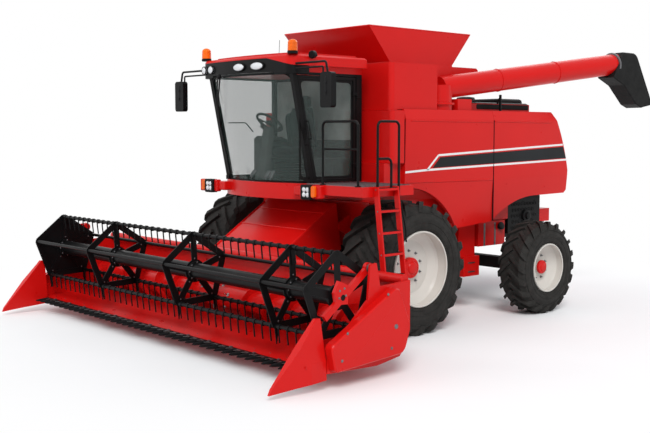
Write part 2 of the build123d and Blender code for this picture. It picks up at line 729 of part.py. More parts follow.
def make_side_tanks():
    top = BODY_SHOULDER_Z - 20
    shoulder_x = BODY_LOW_HALF + 20
    tank = slab_y([(FUEL_IN_X, FUEL_LOW_Z), (FUEL_OUT_X, FUEL_LOW_Z), (FUEL_OUT_X, top),
                   (shoulder_x, RAIL_TOP_Z - 4), (FUEL_IN_X, RAIL_TOP_Z - 4)],
                  FUEL_FRONT_Y, FUEL_REAR_Y)
    casing = slab_y([(FUEL_IN_X, CASING_LOW_Z), (CASING_OUT_X, CASING_LOW_Z), (CASING_OUT_X, top - 20),
                     (shoulder_x, RAIL_TOP_Z - 4), (FUEL_IN_X, RAIL_TOP_Z - 4)],
                    CASING_FRONT_Y, CASING_REAR_Y)
    toolbox = block(TOOLBOX_IN_X, FUEL_OUT_X, TOOLBOX_FRONT_Y, TOOLBOX_REAR_Y,
                    TOOLBOX_LOW_Z, CASING_LOW_Z)
    export_part("fuel_tank", tank)
    export_part("toolbox", casing + toolbox)


# ---- cab -----------------------------------------------------------------

def cab_front(half, corner_y, bulge):
    """The cab's front edge as an arc between its two corners."""
    return ThreePointArc((-half, corner_y), (0, corner_y - bulge), (half, corner_y))


def cab_plan(half, corner_y, rear_y, bulge):
    front = cab_front(half, corner_y, bulge)
    edges = [front, Line((half, corner_y), (half, rear_y)),
             Line((half, rear_y), (-half, rear_y)), Line((-half, rear_y), (-half, corner_y))]
    return make_face(Curve() + edges)


def make_cab_base():
    plan = cab_plan(CAB_HALF, CAB_CORNER_Y, BODY_TOP_FRONT_Y, CAB_BULGE)
    export_part("cab_base", Pos(0, 0, CAB_BOTTOM_Z) * extrude(plan, CAB_FLOOR_Z - CAB_BOTTOM_Z))


def lean_y(z):
    """How far forward the cab's front edge lies at height z."""
    share = (z - CAB_FLOOR_Z) / (CAB_GLASS_TOP_Z - CAB_FLOOR_Z)
    return CAB_CORNER_Y - CAB_TOP_LEAN * share


def make_cab_frame():
    top = ROOF_BOTTOM_Z
    front_pillar = slab_x([(lean_y(CAB_FLOOR_Z), CAB_FLOOR_Z), (lean_y(top), top),
                           (lean_y(top) + PILLAR, top),
                           (lean_y(CAB_FLOOR_Z) + PILLAR, CAB_FLOOR_Z)],
                          CAB_HALF - PILLAR, CAB_HALF)
    rear_pillar = block(CAB_HALF - PILLAR, CAB_HALF, DOOR_HINGE_Y + 12, CAB_REAR_Y,
                        CAB_FLOOR_Z, top)
    head = block(CAB_HALF - PILLAR, CAB_HALF, lean_y(top), CAB_REAR_Y,
                 top - HEAD_H, top)
    whole = front_pillar + rear_pillar + head
    whole += mirrored(whole)
    whole += block(-CAB_HALF, CAB_HALF, CAB_REAR_Y - PILLAR, CAB_REAR_Y, top - 90, top)
    whole += block(-CAB_HALF, CAB_HALF, CAB_REAR_Y - PILLAR, CAB_REAR_Y, CAB_FLOOR_Z, REAR_SILL_Z)
    whole += block(-CAB_HALF, -CAB_HALF + PILLAR, lean_y(2200), CAB_REAR_Y, CAB_FLOOR_Z,
                   CAB_FLOOR_Z + 60)
    for z in HINGE_HEIGHTS:
        whole += hinge_fixed(z)
    export_part("cab_frame", whole)


def windshield():
    """Curved glass between the front pillars, leaning forward at the top."""
    sections = []
    half = CAB_HALF - PILLAR - RUN
    for z in (CAB_FLOOR_Z, ROOF_BOTTOM_Z):
        y = lean_y(z)
        outer = ThreePointArc((-half, y + 20), (0, y - CAB_BULGE + 20), (half, y + 20))
        inner = ThreePointArc((half, y + 20 + GLASS_T), (0, y - CAB_BULGE + 20 + GLASS_T),
                              (-half, y + 20 + GLASS_T))
        ends = [Line((half, y + 20), (half, y + 20 + GLASS_T)),
                Line((-half, y + 20 + GLASS_T), (-half, y + 20))]
        sections.append(Pos(0, 0, z) * make_face(Curve() + [outer, inner] + ends))
    return loft(sections, ruled=True)


def side_window(low, high, inset):
    """The (y, z) outline between the pillars, shrunk by inset."""
    slope_low, slope_high = lean_y(low) + PILLAR, lean_y(high) + PILLAR
    rear = DOOR_HINGE_Y
    return [(slope_low + inset, low + inset), (rear - inset, low + inset),
            (rear - inset, high - inset), (slope_high + inset, high - inset)]


def make_cab_glass():
    low, high = CAB_FLOOR_Z + 64, ROOF_BOTTOM_Z - HEAD_H - 4
    right = slab_x(side_window(low, high, RUN), -CAB_HALF + 20, -CAB_HALF + 20 + GLASS_T)
    rear = block(-CAB_HALF + PILLAR + RUN, CAB_HALF - PILLAR - RUN, CAB_REAR_Y - 45,
                 CAB_REAR_Y - 45 + GLASS_T, REAR_SILL_Z + RUN, ROOF_BOTTOM_Z - 90 - RUN)
    export_part("cab_glass", windshield(), right, rear)




def hinge_fixed(z):
    """The pillar's half of a door hinge: a plate and its pin."""
    plate = block(CAB_HALF - 12, HINGE_X + 10, HINGE_Y - 10, DOOR_HINGE_Y + 60, z - 50, z - 24)
    return plate + rod((HINGE_X, HINGE_Y, z - 50), (HINGE_X, HINGE_Y, z + 24), HINGE_PIN_R)


def hinge_moving(z):
    """The door's half of a hinge: a ring on the pin and a plate to the leaf."""
    ring = rod((HINGE_X, HINGE_Y, z - 24 + RUN), (HINGE_X, HINGE_Y, z + 24), HINGE_PIN_R + 8)
    plate = block(CAB_HALF - 6, HINGE_X + 4, DOOR_HINGE_Y - 70, HINGE_Y - 6, z - 20, z + 20)
    bore = rod((HINGE_X, HINGE_Y, z - 60), (HINGE_X, HINGE_Y, z + 60), HINGE_PIN_R + RUN)
    return ring + plate - bore


def make_cab_door():
    low, high = CAB_FLOOR_Z + DOOR_GAP, ROOF_BOTTOM_Z - HEAD_H - DOOR_GAP
    x1 = CAB_HALF
    leaf = slab_x(side_window(low, high, 6), x1 - DOOR_T, x1)
    window = slab_x(side_window(low, high, 6 + DOOR_FRAME), x1 - DOOR_T - 1, x1 + 1)
    door = leaf - window
    for z in HINGE_HEIGHTS:
        door += hinge_moving(z)
    door += pipe_run([(x1 - 10, -1085, 2700), (x1 + 45, -1085, 2700), (x1 + 45, -1132, 2940),
                      (x1 - 10, -1132, 2940)], 9)
    export_part("cab_door", door)
    glass = slab_x(side_window(low, high, 6 + DOOR_FRAME), x1 - 30, x1 - 30 + GLASS_T)
    export_part("cab_door_glass", glass)


def roof_plan(rear_y, inset):
    """The roof seen from above, with its front corners rounded."""
    plan = cab_plan(ROOF_HALF - inset, ROOF_CORNER_Y + inset, rear_y, ROOF_BULGE)
    corners = plan.vertices().group_by(Axis.Y)[0]
    return fillet(corners, ROOF_ROUND - inset / 2)


def visor_band():
    """The dark band round the roof's front, lower towards its ends."""
    plan = roof_plan(VISOR_REAR_Y, 0)
    band = Pos(0, 0, VISOR_LOW_Z) * extrude(plan, VISOR_TOP_Z - VISOR_LOW_Z)
    face = slab_y([(-ROOF_HALF - 1, VISOR_LOW_Z), (ROOF_HALF + 1, VISOR_LOW_Z),
                   (ROOF_HALF + 1, VISOR_END_Z), (VISOR_FLAT_X, VISOR_TOP_Z),
                   (-ROOF_HALF - 1, VISOR_TOP_Z)], ROOF_FRONT_Y - 200, VISOR_REAR_Y + 1)
    return band & face


def make_roof():
    plan = roof_plan(ROOF_REAR_Y, 0)
    shell = Pos(0, 0, ROOF_SIDE_Z) * extrude(plan, ROOF_TOP_Z - ROOF_SIDE_Z)
    shell = chamfer(shell.edges().group_by(Axis.Z)[-1], ROOF_EDGE)
    crown = Pos(0, 0, ROOF_TOP_Z) * extrude(roof_plan(ROOF_REAR_Y - CROWN_INSET / 2, CROWN_INSET), CROWN_H)
    liner = block(-CAB_HALF, CAB_HALF, CAB_TOP_FRONT_Y, CAB_REAR_Y, ROOF_BOTTOM_Z, ROOF_SIDE_Z)
    roof = (shell + crown + liner) - visor_band()
    for x, half_w, half_h in ROOF_LAMPS:
        roof -= lamp_solid(x, half_w, half_h)
    export_part("cab_roof", roof)


def visor_front_y(x):
    """Where the visor's face lies at x, along the roof's front arc."""
    return ROOF_CORNER_Y - ROOF_BULGE * (1 - (x / ROOF_HALF) ** 2)


def lamp_solid(x, half_w, half_h):
    """One oval lamp let into the visor's face."""
    outline = Plane.XZ * Ellipse(half_w, half_h)
    return Pos(x, visor_front_y(x) + LAMP_DEPTH, LAMP_Z) * extrude(outline, LAMP_DEPTH + LAMP_PROUD)


def make_visor():
    band = visor_band()
    band -= block(-CAB_HALF - 5, CAB_HALF + 5, CAB_TOP_FRONT_Y - 25, VISOR_REAR_Y + 50,
                  VISOR_LOW_Z - 1, ROOF_SIDE_Z)
    band -= Pos(0, 0, VISOR_LOW_Z - 1) * extrude(
        cab_plan(CAB_HALF + 5, lean_y(ROOF_BOTTOM_Z) - 5, VISOR_REAR_Y + 50, CAB_BULGE + 12),
        ROOF_BOTTOM_Z - VISOR_LOW_Z + 2)
    lamps = []
    for x, half_w, half_h in ROOF_LAMPS:
        band -= lamp_solid(x, half_w, half_h)
        lamps.append(lamp_solid(x, half_w, half_h))
    export_part("cab_visor", band)
    export_part("roof_lamps", *lamps)


def make_cab_inside():
    z = CAB_FLOOR_Z
    base = block(-220, 220, -830, -420, z, z + 330)
    cushion = block(-260, 260, -880, -380, z + 330, z + 460)
    back = slab_x([(-470, z + 465), (-390, z + 465), (-330, z + 1120), (-410, z + 1120)], -250, 250)
    back += block(-250, 250, -470, -390, z + 455, z + 470)
    rests = [block(s * 300 - 35, s * 300 + 35, -780, -440, z + 560, z + 620) for s in (-1, 1)]
    export_part("driver_seat", cushion + back, *rests)
    centre = Vector(0, -1010, z + 840)
    low = Vector(0, -1130, z)
    axis = (centre - low).normalized()
    column = rod(tuple(low - axis * 60), tuple(centre - axis * 5), 45)
    column -= block(-200, 200, -1400, -900, z - 200, z)
    ring = Plane(origin=centre, z_dir=axis) * Torus(195, 17)
    spoke = Plane(origin=centre, z_dir=axis) * Box(380, 34, 12)
    hub = rod(tuple(centre - axis * 30), tuple(centre + axis * 18), 48)
    console = block(-560, -400, -820, -320, z, z + 640)
    posts = [block(s * 300 - 20, s * 300 + 20, -480, -440, z, z + 560) for s in (-1, 1)]
    export_part("cab_controls", column + hub + spoke + ring, console, base, *posts)


# ---- platform, ladder and rails -----------------------------------------

def make_platform():
    top = CAB_FLOOR_Z
    deck = block(CAB_HALF, PLATFORM_OUT_X, PLATFORM_FRONT_Y, PLATFORM_REAR_Y,
                 top - PLATFORM_T, top)
    export_part("platform", deck)


def ladder_point(z):
    """The ladder's outward reach at height z."""
    share = (CAB_FLOOR_Z - z) / (CAB_FLOOR_Z - LADDER_BOTTOM_Z)
    return PLATFORM_OUT_X + LADDER_LEAN * share


def make_ladder():
    x0, x1 = ladder_point(CAB_FLOOR_Z), ladder_point(LADDER_BOTTOM_Z)
    stringer = slab_y([(x0, CAB_FLOOR_Z), (x0 + STRINGER_W, CAB_FLOOR_Z),
                       (x1 + STRINGER_W, LADDER_BOTTOM_Z), (x1, LADDER_BOTTOM_Z)], 0, STRINGER_T)
    whole = Pos(0, LADDER_FRONT_Y, 0) * stringer + Pos(0, LADDER_REAR_Y - STRINGER_T, 0) * stringer
    pitch = (CAB_FLOOR_Z - LADDER_BOTTOM_Z - TREAD_FIRST - TREAD_T - TREAD_DROP) / LADDER_STEPS
    for i in range(LADDER_STEPS + 1):
        z = LADDER_BOTTOM_Z + TREAD_FIRST + i * pitch
        x = ladder_point(z)
        whole += block(x + 4, x + STRINGER_W - 4, LADDER_FRONT_Y, LADDER_REAR_Y, z, z + TREAD_T)
    export_part("ladder", whole)


def make_handrails():
    low, high = CAB_FLOOR_Z, HANDRAIL_Z
    y = PLATFORM_FRONT_Y + FRONT_RAIL_INSET
    left, right = FRONT_RAIL_X
    front = bent_pipe([(left, y, low), (left, y, high), (right, y, high), (right, y, low)],
                      RAIL_R, RAIL_BEND)
    front += bar_x(left, right, y, FRONT_RAIL_MID_Z, RAIL_R * 0.8)
    x = PLATFORM_OUT_X + RAIL_R
    ahead, behind = SIDE_RAIL_Y
    side = bent_pipe([(x, ahead, low - TREAD_DROP), (x, ahead, high), (x, behind, high),
                      (x, behind, SIDE_RAIL_FOOT_Z)], RAIL_R, RAIL_BEND)
    side += bent_pipe([(x, ahead, HAND_RAIL_Z), (x, HAND_RAIL_Y, HAND_RAIL_Z),
                       (x, HAND_RAIL_Y, low - TREAD_DROP)], RAIL_R, RAIL_BEND)
    export_part("handrails", front, side)


def make_lamps():
    lamps = []
    for side in (-1, 1):
        x0, x1 = sorted((side * 1010, side * 1390))
        lamps.append(block(x0, x1, PLATFORM_FRONT_Y - 90, PLATFORM_FRONT_Y, 1885, 2105))
    bracket = block(-1200, -CAB_HALF, PLATFORM_FRONT_Y, CAB_CORNER_Y + 60, 1960, 2030)
    export_part("marker_lamps", lamps[0] + bracket, lamps[1])
    beacons = []
    for x in (-BEACON_X, BEACON_X):
        foot = ROOF_TOP_Z
        dome = rod((x, BEACON_Y, foot), (x, BEACON_Y, foot + BEACON_H), BEACON_R)
        beacons.append(fillet(dome.edges().sort_by(Axis.Z)[-1], BEACON_R * 0.5))
    export_part("beacons", *beacons)


def make_mirrors():
    parts = []
    for side in (-1, 1):
        y = MIRROR_Y
        start = side * (ROOF_HALF - 4)
        arm = bent_pipe([(start, y, MIRROR_ARM_Z), (side * MIRROR_ARM_X, y, MIRROR_ARM_Z),
                         (side * MIRROR_X, y, MIRROR_TOP_Z - 30)], MIRROR_ARM_R, MIRROR_BEND)
        stay = bent_pipe([(start, y, MIRROR_STAY_Z), (side * MIRROR_STAY_X, y, MIRROR_STAY_Z),
                          (side * MIRROR_STAY_X, y, MIRROR_TOP_Z - 30)], MIRROR_ARM_R * 0.8, MIRROR_BEND / 2)
        head = block(side * MIRROR_X - MIRROR_HALF, side * MIRROR_X + MIRROR_HALF,
                     y - MIRROR_T / 2, y + MIRROR_T / 2, MIRROR_LOW_Z, MIRROR_TOP_Z)
        head = fillet(head.edges().filter_by(Axis.Y), MIRROR_ROUND)
        roof_side = block(-ROOF_HALF, ROOF_HALF, y - 100, y + 100, MIRROR_STAY_Z - 100, MIRROR_ARM_Z + 100)
        parts.append((arm + stay) - roof_side + head)
    export_part("mirrors", *parts)


# ---- unloading auger -----------------------------------------------------

def tube_axis():
    start = Vector(TURRET_X, TURRET_Y, TUBE_Z)
    end = Vector(TUBE_END_X, TUBE_END_Y, TUBE_END_Z)
    return start, end, (end - start).normalized()


def make_unloading_auger():
    foot = rod((TURRET_X, TURRET_Y, TANK_LEDGE_Z), (TURRET_X, TURRET_Y, TURRET_TOP_Z), TURRET_R)
    cover = block(COVER_IN_X, TANK_HALF - 10, COVER_FRONT_Y, COVER_REAR_Y, TANK_LEDGE_Z, COVER_TOP_Z)
    export_part("auger_turret", foot, cover)
    start, end, axis = tube_axis()
    elbow = rod((TURRET_X, TURRET_Y, TURRET_TOP_Z + RUN), (TURRET_X, TURRET_Y, TUBE_Z + 40), TURRET_R - 4)
    outer = rod(tuple(start), tuple(end), TUBE_R)
    for share in TUBE_SEAM_SHARES:
        middle = start + (end - start) * share
        outer += rod(tuple(middle - axis * TUBE_SEAM_W / 2), tuple(middle + axis * TUBE_SEAM_W / 2),
                     TUBE_R + TUBE_SEAM_H)
    export_part("unloading_tube", elbow + outer)


def make_spout():
    start, end, axis = tube_axis()
    heading = Vector(axis.X, axis.Y, 0).normalized()
    side = Vector(heading.Y, -heading.X, 0)
    place = Location(Plane(origin=end, x_dir=side, z_dir=Vector(0, 0, 1)))
    face = rounded_face(SPOUT_CORNERS)
    boot = extrude(face, SPOUT_HALF, both=True)
    hollow = extrude(offset(face, -SPOUT_WALL), SPOUT_HALF - SPOUT_WALL, both=True)
    mouth = slab_x(SPOUT_MOUTH, -SPOUT_HALF + SPOUT_WALL, SPOUT_HALF - SPOUT_WALL)
    long_edges = boot.faces().sort_by(Axis.X)[0].edges() + boot.faces().sort_by(Axis.X)[-1].edges()
    kept = [edge for edge in long_edges if edge.center().Y > SPOUT_CORNERS[0][0] and edge.center().Z > SPOUT_MOUTH[0][1]]
    boot = chamfer(kept, SPOUT_ROUND)
    tube = rod(tuple(start), tuple(end), TUBE_R)
    export_part("unloading_spout", place * (boot - hollow - mouth) - tube)


# ---- header --------------------------------------------------------------

def feeder_low_z(y):
    """The height of the feeder house's underside at y."""
    rear_y, rear_z = FEEDER_LOW_REAR
    share = (y - BACK_Y - BACK_T) / (rear_y - BACK_Y - BACK_T)
    return FEEDER_LOW_FRONT_Z + (rear_z - FEEDER_LOW_FRONT_Z) * share


def make_feeder_house():
    front = BACK_Y + BACK_T
    whole = slab_x([FEEDER_TOP_REAR, (front, FEEDER_TOP_FRONT_Z), (front, FEEDER_LOW_FRONT_Z),
                    FEEDER_LOW_REAR], -FEEDER_HALF, FEEDER_HALF)
    whole += bar_x(-FEEDER_HALF - 46, FEEDER_HALF + 46, PIVOT_Y, PIVOT_Z, PIVOT_R)
    eye_y, eye_z = CYL_EYE
    ahead, behind = eye_y - EAR_HALF, eye_y + EAR_HALF
    ear = slab_x([(ahead, feeder_low_z(ahead) + EAR_SINK), (behind, feeder_low_z(behind) + EAR_SINK),
                  (eye_y + EAR_TIP, eye_z - EAR_TIP), (eye_y - EAR_TIP, eye_z - EAR_TIP)], 0, EAR_T)
    for middle in (-CYL_X, CYL_X):
        whole += Pos(middle + CYL_ROD_R + EAR_GAP, 0, 0) * ear
        whole += Pos(middle - CYL_ROD_R - EAR_GAP - EAR_T, 0, 0) * ear
    export_part("feeder_house", whole)


def make_header_frame():
    half = HEADER_HALF
    start = math.radians(250)

    def on_trough(radius, angle):
        return AUGER_Y + radius * math.cos(angle), AUGER_Z + radius * math.sin(angle)

    out_r = TROUGH_R + FLOOR_T
    half_way = math.radians(305)
    in_a, out_a = on_trough(TROUGH_R, start), on_trough(out_r, start)
    trough = [
        Line((KNIFE_Y, KNIFE_Z), in_a),
        ThreePointArc(in_a, on_trough(TROUGH_R, half_way), (BACK_Y, AUGER_Z)),
        Line((BACK_Y, AUGER_Z), (BACK_Y, BACK_TOP_Z)),
        Line((BACK_Y, BACK_TOP_Z), (BACK_Y + BACK_T, BACK_TOP_Z)),
        Line((BACK_Y + BACK_T, BACK_TOP_Z), (BACK_Y + BACK_T, AUGER_Z)),
        ThreePointArc((BACK_Y + BACK_T, AUGER_Z), on_trough(out_r, half_way), out_a),
        Line(out_a, (KNIFE_Y, KNIFE_Z - FLOOR_T)),
        Line((KNIFE_Y, KNIFE_Z - FLOOR_T), (KNIFE_Y, KNIFE_Z)),
    ]
    face = make_face(Curve() + trough)
    pan = Pos(-half, 0, 0) * extrude(Plane.YZ * face, 2 * half)
    throat = block(-FEEDER_HALF + FEEDER_WALL, FEEDER_HALF - FEEDER_WALL, BACK_Y - 60,
                   BACK_Y + BACK_T + 1, THROAT_LOW_Z, THROAT_TOP_Z)
    pan -= throat
    pan += bar_x(-half, half, BACK_Y + BACK_T - BEAM_R, BACK_TOP_Z - 5, BEAM_R)
    rear = BACK_Y + BACK_T
    sheet = slab_x([(rear, BACK_TOP_Z - 8), (rear, AUGER_Z - 30), (rear - 60, AUGER_Z - 200),
                    (rear - 170, AUGER_Z - TROUGH_R - 60), (AUGER_Y - TROUGH_R, SHEET_LOW_Z),
                    (KNIFE_Y, KNIFE_Z - FLOOR_T), (KNIFE_Y, KNIFE_Z + 120),
                    (DIVIDER_REAR_Y, KNIFE_Z + 260), (SHEET_TOP_Y, BACK_TOP_Z - 40)],
                   HEADER_HALF, HEADER_HALF + END_SHEET_T)
    post = slab_x([(ARM_PIVOT[0] - 90, BACK_TOP_Z - 160), (ARM_PIVOT[0] - 55, ARM_PIVOT[1] + 50),
                   (ARM_PIVOT[0] + 45, ARM_PIVOT[1] + 60), (ARM_PIVOT[0] + 130, BACK_TOP_Z - 160)],
                  HEADER_HALF, HEADER_HALF + END_SHEET_T)
    pin = bar_x(ARM_IN_X - 10, HEADER_HALF + 5, ARM_PIVOT[0], ARM_PIVOT[1], 22)
    sheet -= bar_x(HEADER_HALF - 1, HEADER_HALF + END_SHEET_T + 1, AUGER_Y, AUGER_Z, AUGER_STUB_R + RUN)
    side = sheet + post + pin
    export_part("header_frame", pan + side + mirrored(side))


def make_cutterbar():
    half = DIVIDER_IN_X - 2
    bar = block(-half, half, KNIFE_Y - 45, KNIFE_Y, KNIFE_Z - 40, KNIFE_Z - 4)
    count = int(2 * (half - GUARD_END) / GUARD_PITCH)
    guards = bar
    for i in range(count + 1):
        x = (i - count / 2) * GUARD_PITCH
        tip = KNIFE_Y - 40 - GUARD_REACH
        guard = slab_x([(KNIFE_Y - 40, KNIFE_Z - 38), (KNIFE_Y - 40, KNIFE_Z - 6), (tip, KNIFE_Z - 30)],
                       -GUARD_HALF, GUARD_HALF)
        taper = slab_z([(-GUARD_HALF, KNIFE_Y - 40), (GUARD_HALF, KNIFE_Y - 40), (2, tip), (-2, tip)], 0, KNIFE_Z)
        guards += Pos(x, 0, 0) * (guard & taper)
    export_part("cutterbar", guards)


def make_dividers():
    """A pointed wedge ahead of each end sheet."""
    x_in, x_out = DIVIDER_IN_X, HEADER_HALF + END_SHEET_T
    profile = slab_x([(TIP_Y, TIP_Z), (TIP_Y + 30, TIP_Z + 60), (DIVIDER_TOP_Y, DIVIDER_TOP_Z),
                      (DIVIDER_TOP_Y + 60, DIVIDER_TOP_Z), (DIVIDER_REAR_Y - 106, 120),
                      (TIP_Y + 330, 90)], x_in, x_out)
    plan = slab_z([(TIP_X - 14, TIP_Y), (TIP_X + 14, TIP_Y), (x_out, DIVIDER_TOP_Y - 120),
                   (x_out, -2700), (x_in, -2700), (x_in, DIVIDER_TOP_Y - 120)], 0, 900)
    ridge = slab_y([(x_in, 0), (x_out, 0), (x_out, 330), (TIP_X + 26, DIVIDER_TOP_Z + 1),
                    (TIP_X - 26, DIVIDER_TOP_Z + 1), (x_in, 330)], -3700, -2600)
    wedge = profile & plan & ridge
    wedge -= block(x_in - 1, x_out + 1, KNIFE_Y, -2600, 0, 900)
    export_part("crop_dividers", wedge, mirrored(wedge))


def rounded_face(corners):
    """A flat outline in the YZ plane whose corners each have their own round."""
    face = Plane.YZ * make_face(Polyline(*[(y, z) for y, z, size in corners], close=True))
    for y, z, size in corners:
        if size:
            face = fillet(face.vertices().sort_by_distance((0, y, z))[0], size)
    return face


def make_end_shields():
    x0 = HEADER_HALF + END_SHEET_T
    shield = Pos(x0, 0, 0) * extrude(rounded_face(SHIELD_CORNERS), SHIELD_T)
    shield = chamfer(shield.faces().sort_by(Axis.X)[-1].edges(), SHIELD_EDGE)
    export_part("end_shields", shield, mirrored(shield))


def make_header_auger():
    half = HEADER_HALF - 12
    whole = bar_x(-half, half, AUGER_Y, AUGER_Z, AUGER_R)
    reach = HEADER_HALF + END_SHEET_T - 5
    whole += bar_x(-reach, reach, AUGER_Y, AUGER_Z, AUGER_STUB_R)
    length = half - FLIGHT_END_X - 20
    for side in (-1, 1):
        start = FLIGHT_END_X if side > 0 else -FLIGHT_END_X - length
        path = Helix(FLIGHT_PITCH, length, (AUGER_R + FLIGHT_R) / 2, direction=(1, 0, 0),
                     lefthand=side > 0)
        depth = FLIGHT_R - AUGER_R + 8
        section = Plane(origin=path @ 0, z_dir=path % 0, x_dir=(1, 0, 0)) * Rectangle(FLIGHT_T, depth)
        flight = sweep(section, path=path, is_frenet=True)
        whole += Pos(start, AUGER_Y, AUGER_Z) * flight
    export_part("header_auger", whole)


# ---- reel ----------------------------------------------------------------

def bat_centre(index):
    angle = math.radians(REEL_TURN + 360.0 / len(BATS_TINED) * index)
    return REEL_Y + REEL_R * math.cos(angle), REEL_Z + REEL_R * math.sin(angle)


def strap(p, q):
    """A flat bar in the YZ plane between two (y, z) points."""
    dy, dz = q[0] - p[0], q[1] - p[1]
    size = math.hypot(dy, dz)
    ny, nz = -dz / size * SPIDER_STRAP, dy / size * SPIDER_STRAP
    return slab_x([(p[0] + ny, p[1] + nz), (q[0] + ny, q[1] + nz),
                   (q[0] - ny, q[1] - nz), (p[0] - ny, p[1] - nz)], 0, SPIDER_T)


def spider(closed):
    """An arm to each bat with straps between the arm ends, open or with a plate behind."""
    ends = [bat_centre(i) for i in range(len(BATS_TINED))]
    plate = bar_x(0, SPIDER_T, REEL_Y, REEL_Z, SPIDER_HUB_R)
    for here, there in zip(ends, ends[1:] + ends[:1]):
        plate += strap((REEL_Y, REEL_Z), here)
        plate += strap(here, there)
        plate += bar_x(0, SPIDER_T, here[0], here[1], SPIDER_EYE_R)
    if closed:
        plate += slab_x(ends, 0, SPIDER_PLATE_T)
    for y, z in ends:
        plate -= bar_x(-1, SPIDER_T + 1, y, z, BAT_R + RUN)
    return plate


def make_reel():
    places = [share * REEL_HALF for share, closed in SPIDERS]
    whole = bar_x(places[0], places[-1], REEL_Y, REEL_Z, REEL_TUBE_R)
    for x, (share, closed) in zip(places, SPIDERS):
        whole += Pos(x - SPIDER_T / 2, 0, 0) * spider(closed)
        flange = x - SPIDER_T / 2 - FLANGE_T if x == places[-1] else x + SPIDER_T / 2
        whole += bar_x(flange, flange + FLANGE_T, REEL_Y, REEL_Z, FLANGE_R)
    whole += bar_x(-ARM_IN_X - ARM_T + 4, ARM_IN_X + ARM_T - 4, REEL_Y, REEL_Z, REEL_STUB_R)
    export_part("reel_frame", whole)
    for index, tined in enumerate(BATS_TINED):
        y, z = bat_centre(index)
        bat = bar_x(places[0] - SPIDER_T / 2, places[-1] + SPIDER_T / 2, y, z, BAT_R)
        fittings = bat_fittings(places, y, z) if tined else []
        export_part(f"reel_bat_{index + 1}", bat + fittings if fittings else bat)


def bat_fittings(places, y, z):
    """The tines between the spiders and a pointed crank beside each spider."""
    made = []
    for left, right in zip(places, places[1:]):
        count = round((right - left) / TINE_PITCH)
        for k in range(count):
            x = left + (k + 0.5) * (right - left) / count
            made.append(Pos(x, y, z - TINE_LENGTH / 2) * Box(2 * TINE_R, 2 * TINE_R, TINE_LENGTH))
    crank = slab_x([(y - CRANK_HALF, z), (y - CRANK_TIP, z - CRANK_LENGTH),
                    (y + CRANK_TIP, z - CRANK_LENGTH), (y + CRANK_HALF, z)], 0, CRANK_T)
    crank += bar_x(0, CRANK_T, y, z, CRANK_HALF)
    reach = SPIDER_T / 2 + CRANK_GAP
    for x in places:
        made.append(Pos(x - reach - CRANK_T if x == places[-1] else x + reach, 0, 0) * crank)
    return made


def make_reel_arms():
    py, pz = ARM_PIVOT
    fy, fz = ARM_FOOT
    size = math.hypot(fy - py, fz - pz)
    ny, nz = -(fz - pz) / size * ARM_DEPTH / 2, (fy - py) / size * ARM_DEPTH / 2
    bar = slab_x([(py + ny, pz + nz), (fy + ny, fz + nz), (fy - ny, fz - nz), (py - ny, pz - nz)],
                 ARM_IN_X, ARM_IN_X + ARM_T)
    bar += bar_x(ARM_IN_X, ARM_IN_X + ARM_T, py, pz, 62)
    block_x = slab_x([(REEL_Y - 100, REEL_Z - 70), (REEL_Y + 70, REEL_Z - 80), (REEL_Y + 80, REEL_Z + 130),
                      (REEL_Y - 60, REEL_Z + 190), (REEL_Y - 130, REEL_Z + 60)],
                     ARM_IN_X, ARM_IN_X + ARM_T)
    arm = bar + block_x
    arm -= bar_x(ARM_IN_X - 1, ARM_IN_X + ARM_T + 1, REEL_Y, REEL_Z, REEL_STUB_R + RUN)
    arm -= bar_x(ARM_IN_X - 11, ARM_IN_X + ARM_T + 1, py, pz, 22 + RUN)
    export_part("reel_arms", arm, mirrored(arm))


# ---- lift cylinders ------------------------------------------------------

def make_lift_cylinders():
    (by, bz), (ey, ez) = CYL_BASE, CYL_EYE
    size = math.hypot(ey - by, ez - bz)
    uy, uz = (ey - by) / size, (ez - bz) / size
    barrels, rods = [], []
    for side in (-1, 1):
        x = side * CYL_X
        barrel = rod((x, by + uy * 30, bz + uz * 30), (x, by + uy * (size - 190), bz + uz * (size - 190)),
                     CYL_R)
        barrel += bar_x(x - CYL_R - 6, x + CYL_R + 6, by, bz, 36)
        barrel -= bar_x(x - CYL_R - 9, x + CYL_R + 9, by, bz, CYL_PIN_R + RUN)
        barrel -= rod((x, by + uy * 90, bz + uz * 90), (x, by + uy * size, bz + uz * size),
                      CYL_ROD_R + RUN)
        barrels.append(barrel)
        shaft = rod((x, by + uy * 95, bz + uz * 95), (x, by + uy * (size - 26), bz + uz * (size - 26)),
                    CYL_ROD_R)
        eye = bar_x(x - CYL_ROD_R, x + CYL_ROD_R, ey, ez, 34)
        piece = shaft + eye - bar_x(x - 60, x + 60, ey, ez, CYL_PIN_R)
        rods.append(piece)
    export_part("lift_cylinder_barrels", *barrels)
    export_part("lift_cylinder_rods", *rods)


os.makedirs("parts", exist_ok=True)
make_wheels()
make_chassis_frame()
make_front_axle()
make_rear_axle()
make_knuckles()
make_separator_body()
make_side_panels()
make_grain_tank()
make_tank_extension()
make_engine()
make_straw_chopper()
make_side_tanks()
make_cab_base()
make_cab_frame()
make_cab_glass()
make_cab_door()
make_roof()
make_visor()
make_cab_inside()
make_platform()
make_ladder()
make_handrails()
make_lamps()
make_mirrors()
make_unloading_auger()
make_spout()
make_feeder_house()
make_header_frame()
make_cutterbar()
make_dividers()
make_end_shields()
make_header_auger()
make_reel()
make_reel_arms()
make_lift_cylinders()
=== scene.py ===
"""Looks of a combine harvester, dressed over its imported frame.

Metres, +Z up. The machine drives towards -Y and its left side is +X.
Places come from the frame's node boxes, joints and bounds, or are layout numbers that at() measures
from the ground under the front axle.
"""
import json
from math import copysign, cos, hypot, pi, radians, sin

import bmesh
import bpy
from mathutils import Matrix, Vector
from mathutils.bvhtree import BVHTree


